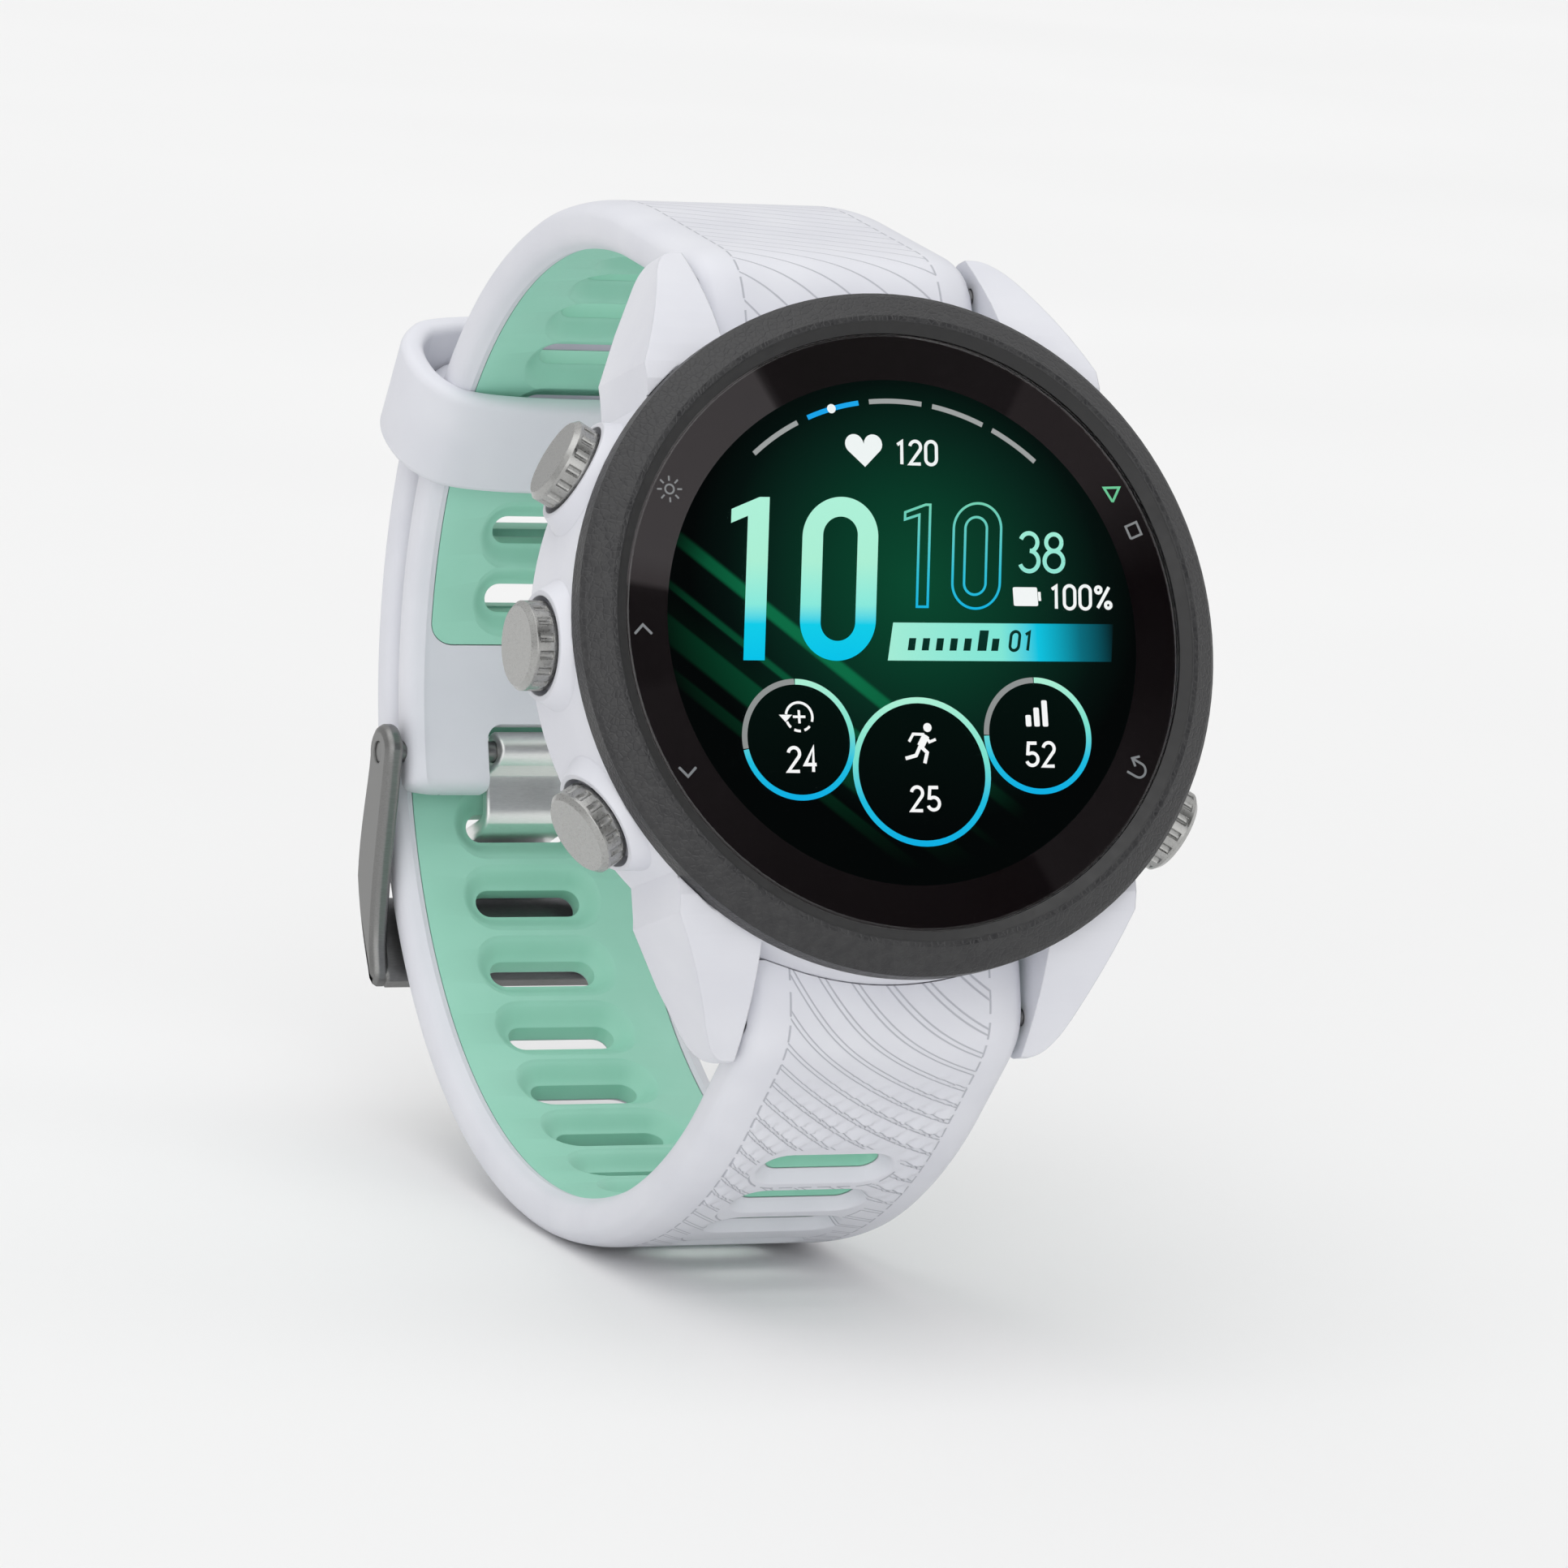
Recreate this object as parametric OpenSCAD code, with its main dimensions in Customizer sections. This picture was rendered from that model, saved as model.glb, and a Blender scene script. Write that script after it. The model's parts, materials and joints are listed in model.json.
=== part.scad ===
// Running watch with a round case, five push buttons and a closed two-layer strap.
// Millimetres. Inside posed() the display faces -Y, +Z is twelve o'clock, +X is three
// o'clock and the origin is the centre of the lens's outer face. posed() leans the whole watch
// back and stands the lowest point of the strap on Z = 0.

/* [Stance] */
// How far the watch leans back from upright, degrees
lean_back = 20; // [10:1:25]

/* [Case] */
// Outer diameter of the bezel
bezel_d = 41.7; // [41:0.1:43]
// Depth of the watch from the lens to the sensor's crown
case_depth = 12.9; // [12.5:0.1:14]
// Radius of the case's side wall
case_r = 20.6; // [20.4:0.1:20.8]
// Diameter of the lens
lens_d = 36.4; // [36:0.1:36.6]
// Gap between the lugs
lug_gap = 19; // [18.8:0.1:19.2]
// Height of the strap bars above and below the centre
bar_z = 22.4; // [22.3:0.1:22.6]
// Depth of the strap bars behind the lens
bar_y = 7.9; // [7.8:0.1:8]

/* [Buttons] */
// Diameter of a button's cap
cap_d = 5.4; // [5:0.1:5.6]
// How far a button travels
press = 0.45; // [0.3:0.05:0.5]
// Depth of the buttons' axes behind the lens
button_y = 5.8; // [5.6:0.1:6]

/* [Strap] */
// Width of the strap round the wrist
strap_w = 18.4; // [18:0.1:18.6]
// Thickness of the strap
strap_t = 3.1; // [2.8:0.1:3.1]
// Outer radius of the strap's inner layer
loop_r = 31.1; // [30.6:0.1:31.6]
// Gap between the strap's two layers
layer_gap = 0.7; // [0.6:0.05:1]
// Angle between neighbouring slots
slot_pitch = 9.3; // [9:0.1:9.4]
// Length of a slot across the strap
slot_l = 7.4; // [7:0.1:7.6]
// Height of a slot along the strap
slot_h = 1.9; // [1.7:0.1:2.1]

/* [Hidden] */
$fn = 64;
over = 0.5;                          // how far a cutter runs past what it cuts
fit = 0.05;                          // radial clearance of a running fit
free = 0.3;                          // gap between parts that move past each other
lap = 0.2;                           // how far joined stretches run into each other

// strap loop: centre of its curve, and the radii of its two layers
loop_y = 31.2;
loop_z = 1.6;
upper_r = loop_r;                    // outer face of the inner layer
lower_r = loop_r + layer_gap + strap_t;
upper_mid = upper_r - strap_t / 2;
lower_mid = lower_r - strap_t / 2;
end_y = 6.6;                         // both straps' middle lines set out from here
end_z = 22.6;
end_dist_u = norm([loop_y - end_y, loop_z - end_z]);
end_dist_l = norm([loop_y - end_y, loop_z + end_z]);
upper_tilt = atan2(loop_z - end_z, loop_y - end_y) + asin(upper_mid / end_dist_u);
lower_tilt = atan2(loop_z + end_z, loop_y - end_y) - asin(lower_mid / end_dist_l);
upper_run = sqrt(end_dist_u * end_dist_u - upper_mid * upper_mid);
lower_run = sqrt(end_dist_l * end_dist_l - lower_mid * lower_mid);
upper_start = 90 + upper_tilt;       // angle round the loop where the upper curve begins
upper_end = -3;                      // and where the upper strap ends, at the buckle
lower_start = lower_tilt - 90;
lower_end = 50;                      // the tail's tip, inside the keeper
tang_slot = -6.0;                    // angle of the slot that the tang goes through
close_pitch = 7.2;                   // pitch of the two slots next to the watch
rim = 1.6;                           // plain rim round a liner
liner_t = 1.0;
end_w = 18.6;                        // width of a strap between the lugs
end_block_w = 18.5;
end_top = 19;                        // height at which the end block meets the case
end_front = 5.7;                     // depth of the end block's front face
end_lap = 2;                         // the end block reaches this far over the run
window_low = 16.6;                   // the upper liner's lower window edge
lower_liner_end = 44;

// lowest point of the leaned strap, which is the lower layer's outer face
stand_z = loop_y * sin(lean_back) - loop_z * cos(lean_back) + lower_r;

// case stack, by depth from the lens
ridge_r = 18.9;
ridge_y = -0.45;
bezel_edge_y = 0.75;
bezel_back_y = 2.2;
lens_t = 1.0;
seal_t = 0.15;
case_front_y = 1.5;
case_back_y = 9.4;
cavity_r = 17.9;
cavity_front_y = 2.5;
cover_r = 18.9;
screw_r = 16.2;                      // circle of the back's screws
screw_boss_r = 1.9;
screw_boss_y = 5.2;
dome_r = 14.2;                       // crown of the sensor window
dome_h = case_depth - case_back_y + 0.2;
dome_wall = dome_h - dome_r * (1 - cos(26)) - 0.35;
tip_x = 11.2;                        // lug tips
tip_z = 24.8;
tip_r = norm([tip_x, tip_z]);
lug_turn = atan2(tip_z, tip_x) - acos(case_r / tip_r);

// buttons, by angle round the case
light_a = 150;
up_a = 180;
down_a = 210;
start_a = 30;
back_a = -30;
button_angles = [light_a, up_a, down_a, start_a, back_a];
cap_out = 22.9;                      // radius of a cap's outer face
start_out = 22;                      // the start button sits lower, against accidental stops
cap_t = 1.6;
spring_solid = 0.55;                 // height of a fully pressed spring
well_depth = cap_t + press + spring_solid; // from a cap's outer face to the floor of its well
boss_r = 3.3;                        // a button's boss is a cone, blended into the case
boss_foot_r = 4.6;
boss_in = 19;
boss_out = 21.4;
sleeve_r = 1.25;
stem_r = 0.8;
stem_in = 16.7;
clip_t = 0.3;

// buckle
pin_a = 2.4;
pin_r = 0.7;
pin_y = loop_y + upper_mid * cos(pin_a);
pin_z = loop_z + upper_mid * sin(pin_a);
arm_t = 1.2;
arm_in = strap_w / 2 + free + 0.1;
frame_r = lower_r + 0.5;
frame_t = 1.3;
frame_top = -12.6;                   // cross plate, from this angle
frame_low = -22.5;                   // down to this one

// keeper
keeper_mid = 47.5;
keeper_half = 3.6;                   // half its length along the strap
keeper_t = 1.5;
keeper_in = upper_r - strap_t - 0.7;
keeper_out = lower_r + 0.5;

// x centre: the buttons at nine o'clock stand out further than those at two and four
right_reach = cap_out * cos(back_a) + cap_d / 2 * abs(sin(back_a));
x_shift = (cap_out - right_reach) / 2;
// y centre: from the bezel's lowest front edge to the back of the lower strap
front_reach = (ridge_r + 0.35) * sin(lean_back) - (ridge_y + 0.02) * cos(lean_back);
back_reach = loop_y * cos(lean_back) + loop_z * sin(lean_back) + lower_r;
y_shift = (front_reach - back_reach) / 2;

function out_at(a) = a == start_a ? start_out : cap_out;
function floor_at(a) = out_at(a) - well_depth;

module posed() {
  translate([x_shift, y_shift, stand_z]) rotate([-lean_back, 0, 0]) children();
}

// turns a shape built along Z so that its axis runs into the watch, from depth y
module deep(y) {
  translate([0, y, 0]) rotate([-90, 0, 0]) children();
}

// places a shape built along +Z so that it points outwards at an angle round the case
module radial(a) {
  translate([0, button_y, 0]) rotate([0, 90 - a, 0]) children();
}

// ring round the case's axis, from radius a to b and from depth y0 to y1
module ring(a, b, y0, y1) {
  deep(y0) difference() {
    cylinder(r = b, h = y1 - y0);
    translate([0, 0, -over]) cylinder(r = a, h = y1 - y0 + 2 * over);
  }
}

module disc(r, y0, y1) {
  deep(y0) cylinder(r = r, h = y1 - y0);
}

// a box given by its corners
module block(a, b) {
  translate(a) cube(b - a);
}

/* ---- case ---- */

// points of a quadratic curve from a to c, pulled towards b
function curve(a, b, c, steps = 8) =
  [for (i = [0:steps]) let (t = i / steps) (1 - t) * (1 - t) * a + 2 * t * (1 - t) * b + t * t * c];

module lug_plan() {
  // four wedges that leave the round case on a tangent and end in rounded tips
  foot = [case_r * cos(lug_turn), case_r * sin(lug_turn)];
  tip = [tip_x, tip_z];
  quarter = concat([foot], curve(tip - 0.12 * (tip - foot), tip, tip - [1.1, 0]));
  deep(case_front_y - 1) for (sx = [1, -1]) linear_extrude(height = 12)
    polygon([for (sz = [1, -1]) for (i = [0:len(quarter) - 1])
      let (p = quarter[sz > 0 ? len(quarter) - 1 - i : i]) [sx * p[0], sz * p[1]],
      [0, -tip_z], [0, tip_z]]);
}

module lug_side(s) {
  // side outline of a lug: a shoulder that curves down to the tip
  rotate([90, 0, 90]) translate([0, 0, -15]) linear_extrude(height = 30)
    polygon([for (p = concat([[1.9, 6]], curve([1.9, 15.6], [3.1, 20.2], [8.2, tip_z]),
      curve([9.0, tip_z], [10.2, tip_z], [10.2, tip_z - 1.6]),
      [[10.2, 20], [case_back_y, 16], [case_back_y, 6]])) [p[0], s * p[1]]]);
}

module mid_case() {
  color([0.82, 0.83, 0.89]) difference() {
    union() {
      disc(case_r, bezel_back_y, case_back_y);
      for (s = [1, -1]) difference() {
        intersection() {
          lug_plan();
          lug_side(s);
        }
        translate([-lug_gap / 2, -2, -30]) cube([lug_gap, 16, 60]);
      }
      for (a = button_angles) radial(a) translate([0, 0, boss_in])
        cylinder(r1 = boss_foot_r, r2 = boss_r, h = boss_out - boss_in);
    }
    difference() {
      disc(cavity_r, cavity_front_y, case_back_y + over);
      screw_at() disc(screw_boss_r, screw_boss_y, case_back_y);
    }
    screw_at() disc(0.52, screw_boss_y + 1, case_back_y + over);
    disc(cavity_r - 1.2, 0, cavity_front_y + over);
    disc(bezel_d / 2 + 0.04, 0, bezel_back_y);
    disc(cover_r + 0.17, case_back_y - 0.8, case_back_y + over);
    // blind holes for the bar tips
    for (s = [1, -1]) translate([-lug_gap / 2 - 1.4, bar_y, s * bar_z]) rotate([0, 90, 0])
      cylinder(r = 0.5 + fit, h = lug_gap + 2.8);
    // button wells and sleeve bores
    for (a = button_angles) radial(a) {
      translate([0, 0, floor_at(a)]) cylinder(r = cap_d / 2 + free, h = 4);
      translate([0, 0, 16]) cylinder(r = sleeve_r, h = 5);
    }
    // vent port
    rotate([0, 90, 0]) translate([0, button_y, 16]) cylinder(r = 0.5, h = 6);
  }
}

module bezel() {
  color([0.25, 0.25, 0.26]) deep(0) rotate_extrude($fn = 96) polygon([
    [lens_d / 2 + 0.02, 0], [ridge_r, ridge_y], [ridge_r + 0.35, ridge_y + 0.02],
    [bezel_d / 2 - 0.25, bezel_edge_y - 0.25], [bezel_d / 2, bezel_edge_y],
    [bezel_d / 2, bezel_back_y - 0.15], [bezel_d / 2 - 0.15, bezel_back_y],
    [cavity_r - 1.2, bezel_back_y],
    [cavity_r - 1.2, lens_t + seal_t], [lens_d / 2 + 0.02, lens_t + seal_t]
  ]);
}

module lens() {
  color([0.06, 0.06, 0.07]) disc(lens_d / 2, 0, lens_t);
}

module lens_seal() {
  color("black") ring(16.75, lens_d / 2 - 0.1, lens_t, lens_t + seal_t);
}

module display_panel() {
  color([0.02, 0.05, 0.05]) disc(15.9, lens_t + 0.02, 2.3);
}

module display_flex() {
  // folded ribbon from the panel's lower edge to the board
  color([0.75, 0.45, 0.15]) union() {
    block([-3, 2.3, -13.2], [3, 2.42, -10]);
    block([-3, 2.3, -13.4], [3, 3.55, -13.2]);
  }
}

module antenna_ring() {
  color([0.8, 0.65, 0.35]) ring(17.0, 17.7, 2.6, 3.1);
}

/* ---- inside ---- */

module inner_frame() {
  color([0.2, 0.2, 0.22]) difference() {
    disc(16.8, 2.7, 3.3);
    translate([-5, 2, -15]) cube([10, 2, 4.6]);
    for (s = [1, -1]) translate([s * 7, 2, 3]) rotate([-90, 0, 0]) cylinder(r = 3.5, h = 2);
  }
}

module main_board() {
  color([0.05, 0.3, 0.18]) difference() {
    disc(16.4, 3.6, 4.3);
    // notches that key the board to the carrier
    for (a = [45:90:315]) rotate([0, -a, 0]) translate([16.4, 3, 0]) rotate([-90, 0, 0])
      cylinder(r = 1.7, h = 2);
  }
}

module board_chips() {
  color([0.1, 0.1, 0.11])
    for (c = [[-8.2, 8, 2.8], [-3, 9.5, 2.2], [3.5, 9, 2.6], [9, 8, 1.7], [-12, -2.6, 1.2]])
      block([c[0] - c[2], 4.3, c[1] - c[2]], [c[0] + c[2], 4.9, c[1] + c[2]]);
}

module battery() {
  color([0.72, 0.73, 0.75]) union() {
    block([-10, 5.1, -9], [10, 8.4, 4.5]);
    block([-6, 5.1, 4.5], [6, 8.4, 5.3]);
  }
}

module vibration_motor() {
  color([0.7, 0.7, 0.68]) translate([-5.5, 0, -12.6]) disc(3.2, 4.4, 7.0);
}

module buzzer() {
  color([0.8, 0.7, 0.35]) translate([4.5, 0, -12.4]) disc(3.1, 4.4, 5.9);
}

module pressure_vent() {
  color([0.9, 0.9, 0.92]) rotate([0, 90, 0]) translate([0, button_y, cavity_r - 0.55])
    cylinder(r = 1.1, h = 0.5);
}

module screw_at() {
  for (a = [45:90:315]) rotate([0, -a, 0]) translate([screw_r, 0, 0]) children();
}

module rear_cover() {
  color([0.8, 0.81, 0.87]) difference() {
    union() {
      disc(cover_r, case_back_y - 0.75, case_back_y + 0.35);
      deep(case_back_y + 0.35) cylinder(r1 = cover_r, r2 = 14, h = 0.55);
    }
    disc(6.6, case_back_y - 2, case_back_y + 3);
    screw_at() {
      deep(case_back_y - 2) cylinder(r = 0.55, h = 5);
      deep(case_back_y + 0.15) cylinder(r = 1.05, h = 5);
    }
    for (x = [-2.7:1.8:2.7]) translate([x, 0, -9.6]) disc(0.55, case_back_y - 2, case_back_y + 3);
    // groove for the seal
    deep(case_back_y - 0.45) rotate_extrude() translate([cover_r - 0.12, 0]) circle(r = 0.27, $fn = 24);
  }
}

module rear_seal() {
  color([0.1, 0.1, 0.1]) deep(case_back_y - 0.45) rotate_extrude() translate([cover_r - 0.12, 0])
    circle(r = 0.27, $fn = 24);
}

module rear_screws() {
  color([0.6, 0.6, 0.6]) screw_at() difference() {
    union() {
      deep(case_back_y + 0.2) cylinder(r = 0.95, h = 0.5);
      deep(case_back_y - 1.8) cylinder(r = 0.5, h = 2.1);
    }
    deep(case_back_y + 0.45) cylinder(r = 0.45, h = 1, $fn = 6);
  }
}

module sensor_lens() {
  color([0.08, 0.08, 0.09]) difference() {
    // a shallow dome on a short wall
    deep(case_back_y - 0.2) rotate_extrude() polygon([
      [0, 0], [6.5, 0], [6.5, dome_wall],
      for (a = [26:-2:0]) [dome_r * sin(a), dome_h - dome_r * (1 - cos(a))]
    ]);
    disc(5.2, case_back_y - 1, case_back_y + 1.2);
  }
}

module sensor_board() {
  color([0.05, 0.3, 0.18]) disc(5.0, case_back_y - 0.15, case_back_y + 0.25);
}

module sensor_leds() {
  color([0.2, 0.8, 0.3]) union() {
    block([-1.2, case_back_y + 0.25, -1.2], [1.2, case_back_y + 0.8, 1.2]);
    for (a = [0:60:300]) rotate([0, a, 0])
      block([2.6, case_back_y + 0.25, -0.6], [3.9, case_back_y + 0.8, 0.6]);
  }
}

module charging_contacts() {
  color([0.85, 0.7, 0.35]) for (x = [-2.7:1.8:2.7]) translate([x, 0, -9.6]) {
    disc(0.5, case_back_y - 0.6, case_back_y + 0.85);
    disc(0.8, case_back_y - 0.98, case_back_y - 0.78);
  }
}

/* ---- buttons ---- */

module tact_switches() {
  color([0.25, 0.25, 0.27]) for (a = button_angles) radial(a) {
    translate([-1.4, -1.4, 14.6]) cube([2.8, 2.8, 1.0]);
    translate([0, 0, 15.5]) cylinder(r = 0.7, h = 0.35);
  }
}

module button_sleeves() {
  color([0.6, 0.6, 0.6]) for (a = button_angles) radial(a) difference() {
    translate([0, 0, cavity_r - 0.3]) cylinder(r = sleeve_r, h = floor_at(a) - cavity_r + 0.3);
    translate([0, 0, 16]) cylinder(r = stem_r + fit, h = 6);
  }
}

// cap with a fluted edge and a crowned face, on a stem that ends near its switch
module button(a) {
  color([0.66, 0.66, 0.65]) radial(a) difference() {
    union() {
      translate([0, 0, out_at(a) - cap_t]) cylinder(r = cap_d / 2, h = cap_t - 0.3);
      translate([0, 0, out_at(a) - 0.3]) cylinder(r1 = cap_d / 2, r2 = cap_d / 2 - 0.3, h = 0.3);
      translate([0, 0, stem_in]) cylinder(r = stem_r, h = out_at(a) - cap_t - stem_in + 0.1);
    }
    for (i = [0:15]) rotate([0, 0, i * 22.5]) translate([cap_d / 2 + 0.12, 0, out_at(a) - cap_t + 0.25])
      cylinder(r = 0.3, h = cap_t - 0.75, $fn = 16);
    // groove for the clip
    translate([0, 0, stem_in + 0.25]) difference() {
      cylinder(r = 2, h = clip_t);
      translate([0, 0, -over]) cylinder(r = stem_r - 0.25, h = clip_t + 2 * over);
    }
  }
}

// open retaining clip on the stem's inner end
module clip(a) {
  color([0.5, 0.5, 0.5]) radial(a) translate([0, 0, stem_in + 0.27]) difference() {
    cylinder(r = 1.35, h = clip_t - 0.04);
    translate([0, 0, -over]) cylinder(r = stem_r - 0.25, h = 2);
    translate([-0.35, -2, -over]) cube([0.7, 2, 2]);
  }
}

// closed coil: one swept tube of wire
module coil(r, wire, height, turns) {
  sides = 6;
  steps = 12;
  rings = turns * steps;
  lift = height - 2 * wire;
  points = [
    for (i = [0:rings]) for (j = [0:sides - 1])
      let (a = i * 360 / steps, b = j * 360 / sides, w = r + wire * cos(b))
      [w * cos(a), w * sin(a), wire + lift * i / rings + wire * sin(b)]
  ];
  faces = [
    [for (j = [0:sides - 1]) j],
    [for (j = [0:sides - 1]) rings * sides + sides - 1 - j],
    for (i = [0:rings - 1]) for (j = [0:sides - 1])
      let (k = (j + 1) % sides, a = i * sides, b = a + sides)
      each [[a + j, b + j, b + k], [a + j, b + k, a + k]]
  ];
  polyhedron(points = points, faces = faces);
}

module button_spring(a) {
  color([0.6, 0.6, 0.6]) radial(a) translate([0, 0, floor_at(a) + 0.02])
    coil(1.75, 0.14, well_depth - cap_t - 0.04, 3);
}

/* ---- strap ---- */

// turns a shape built along +Y so that it points outwards at an angle round the strap's loop
module around(a) {
  translate([0, loop_y, loop_z]) rotate([a, 0, 0]) children();
}

// sweeps a section, drawn as [x, radius], round the loop from angle a to b
module sweep(a, b) {
  translate([0, loop_y, loop_z]) rotate([a, 0, 0]) rotate([90, 0, 90])
    rotate_extrude(angle = b - a, $fn = 180) rotate(-90) mirror([1, 0]) children();
}

// strap section: flat inside, crowned outside, with eased corners
module strap_section(r, w) {
  polygon([[-w / 2 + 0.5, r - strap_t], [w / 2 - 0.5, r - strap_t], [w / 2, r - strap_t + 0.5],
    [w / 2, r - 1.1], [w / 2 - 0.7, r - 0.35], [w / 2 - 2.6, r], [-w / 2 + 2.6, r],
    [-w / 2 + 0.7, r - 0.35], [-w / 2, r - 1.1], [-w / 2, r - strap_t + 0.5]]);
}

// liner section; below is how far a pocket's cutter runs past the inner face
module liner_section(r, below) {
  translate([-strap_w / 2 + rim, r - strap_t - below]) square([strap_w - 2 * rim, liner_t + below]);
}

// straight run from the loop's start to the strap's bar; s is 1 above and -1 below
module run(s, start, length) {
  around(start) translate([0, 0, s > 0 ? -lap : -length]) linear_extrude(height = length + lap) children();
}

// round-ended slot through the strap at one angle
module slot(a, r) {
  around(a) translate([0, r - strap_t - over, 0]) rotate([-90, 0, 0]) {
    translate([-(slot_l - slot_h) / 2, -slot_h / 2, 0]) cube([slot_l - slot_h, slot_h, strap_t + 2 * over]);
    for (s = [1, -1]) translate([s * (slot_l - slot_h) / 2, 0, 0])
      cylinder(r = slot_h / 2, h = strap_t + 2 * over);
  }
}

// the buckle half's slots, close to the tail's so that two pairs show daylight
module upper_slots() {
  for (i = [3, 4, 6, 7, 8, 9, 10, 11]) slot(tang_slot + 0.7 + i * slot_pitch, upper_r);
}

// the tail's slots; the last two before the watch sit closer together
module lower_slots() {
  for (i = [-10:5]) slot(tang_slot + i * slot_pitch, lower_r);
  for (i = [1, 2]) slot(tang_slot - 10 * slot_pitch - i * close_pitch, lower_r);
}

module bar_bore(s) {
  translate([-lug_gap / 2, bar_y, s * bar_z]) rotate([0, 90, 0]) cylinder(r = 0.92, h = lug_gap);
}

// a point at a distance along a straight run from its end, and a height outwards from its middle
function on_run(s, tilt, along, out) =
  [end_y + along * cos(tilt) - s * out * sin(tilt), s * end_z + along * sin(tilt) + s * out * cos(tilt)];

// straight run, and the block between the lugs that holds the bar and meets the round case
module strap_end(s, start, tilt, length, r) {
  half = strap_t / 2;
  run(s, start, length - end_lap) strap_section(r, end_w);
  difference() {
    rotate([90, 0, 90]) translate([0, 0, -end_block_w / 2]) linear_extrude(height = end_block_w) polygon([
      [end_front, s * end_top], [end_front, s * 22.6], [end_front + 0.3, s * 23.5],
      on_run(s, tilt, 1.1, half - 0.1), on_run(s, tilt, 2 * end_lap, half - 0.1),
      on_run(s, tilt, 1.8 * end_lap, -half - 0.15), [case_back_y + 0.5, s * 21.4],
      [case_back_y - 0.2, s * end_top]
    ]);
    disc(case_r + 0.06, 0, 2 * case_back_y);
  }
}

// finger slot for the release lever, in the side that faces the wrist
module lever_slot(s) {
  translate([5.2, bar_y, s * bar_z - 0.75]) cube([3.2, 4, 1.5]);
}

module upper_strap() {
  color([0.82, 0.83, 0.89]) difference() {
    union() {
      sweep(upper_end, upper_start) strap_section(upper_r, strap_w);
      strap_end(1, upper_start, upper_tilt, upper_run, upper_r);
    }
    upper_slots();
    upper_liner_shape(over);
    bar_bore(1);
    lever_slot(1);
    // notch for the tang and bore for the buckle pin
    around(pin_a + 3.4) translate([-3.6, upper_r - strap_t - 1, -8]) cube([7.2, strap_t + 2, 8]);
    translate([-12, pin_y, pin_z]) rotate([0, 90, 0]) cylinder(r = pin_r + 0.02, h = 24);
  }
}

module upper_liner_shape(below) {
  sweep(window_low, upper_start - 6) liner_section(upper_r, below);
}

module upper_liner() {
  color([0.55, 0.8, 0.7]) difference() {
    upper_liner_shape(0);
    upper_slots();
  }
}

module lower_strap() {
  color([0.82, 0.83, 0.89]) difference() {
    union() {
      sweep(lower_start, lower_end) strap_section(lower_r, strap_w);
      strap_end(-1, lower_start, lower_tilt, lower_run, lower_r);
    }
    lower_slots();
    lower_liner_shape(over);
    bar_bore(-1);
    lever_slot(-1);
  }
}

module lower_liner_shape(below) {
  sweep(lower_start + 2, lower_liner_end) liner_section(lower_r, below);
}

module lower_liner() {
  color([0.55, 0.8, 0.7]) difference() {
    lower_liner_shape(0);
    lower_slots();
  }
}

module keeper_loop() {
  half = strap_w / 2 + 0.45;
  color([0.8, 0.81, 0.88]) around(keeper_mid) translate([0, 0, -keeper_half])
    linear_extrude(height = 2 * keeper_half) difference() {
    polygon([[-half - keeper_t + 0.7, keeper_in - keeper_t], [half + keeper_t - 0.7, keeper_in - keeper_t],
      [half + keeper_t, keeper_in - keeper_t + 0.7], [half + keeper_t, keeper_out + 0.2],
      [half + keeper_t - 1.3, keeper_out + keeper_t], [-half - keeper_t + 1.3, keeper_out + keeper_t],
      [-half - keeper_t, keeper_out + 0.2], [-half - keeper_t, keeper_in - keeper_t + 0.7]]);
    translate([-half, keeper_in]) square([2 * half, keeper_out - keeper_in]);
  }
}

/* ---- quick-release bars ---- */

// tube with a fixed tip on the left and a lever slot near its right end
module bar_tube(s) {
  color([0.62, 0.62, 0.62]) translate([0, bar_y, s * bar_z]) rotate([0, 90, 0]) difference() {
    union() {
      translate([0, 0, -8.9]) cylinder(r = 0.9, h = 17.8);
      translate([0, 0, -lug_gap / 2 - 1.1]) cylinder(r = 0.5, h = 2);
    }
    translate([0, 0, -7.9]) cylinder(r = 0.6, h = 16.3);
    translate([0, 0, -7.9]) cylinder(r = 0.5 + fit, h = 20);
    translate([-0.35, 0, 5.4]) cube([0.7, 2, 2.9]);
  }
}

// sliding tip with its lever
module bar_pin(s) {
  color([0.7, 0.7, 0.7]) translate([0, bar_y, s * bar_z]) rotate([0, 90, 0]) {
    translate([0, 0, 6.6]) cylinder(r = 0.6 - fit, h = 1.75);
    translate([0, 0, 8.3]) cylinder(r = 0.5, h = lug_gap / 2 + 1.1 - 8.3);
    translate([-0.25, 0, 7.4]) cube([0.5, 2.2, 0.6]);
  }
}

module bar_spring(s) {
  color([0.6, 0.6, 0.6]) translate([0, bar_y, s * bar_z]) rotate([0, 90, 0]) translate([0, 0, -7.88])
    coil(0.42, 0.12, 14.44, 10);
}

/* ---- buckle ---- */

module buckle_pin() {
  color([0.7, 0.7, 0.7]) translate([-arm_in - arm_t, pin_y, pin_z]) rotate([0, 90, 0])
    cylinder(r = pin_r, h = 2 * (arm_in + arm_t));
}

// two side arms from the pin to a broad cross plate outside the tail
module buckle_frame() {
  color([0.66, 0.66, 0.65]) difference() {
    union() {
      for (s = [1, -1]) translate([s > 0 ? arm_in : -arm_in - arm_t, 0, 0]) {
        translate([0, pin_y, pin_z]) rotate([0, 90, 0]) cylinder(r = 1.9, h = arm_t);
        frame_arm();
      }
      sweep(frame_low, frame_top) translate([-arm_in - 0.1, frame_r]) square([2 * arm_in + 0.2, frame_t]);
    }
    translate([-20, pin_y, pin_z]) rotate([0, 90, 0]) cylinder(r = pin_r + fit, h = 40);
  }
}

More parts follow.
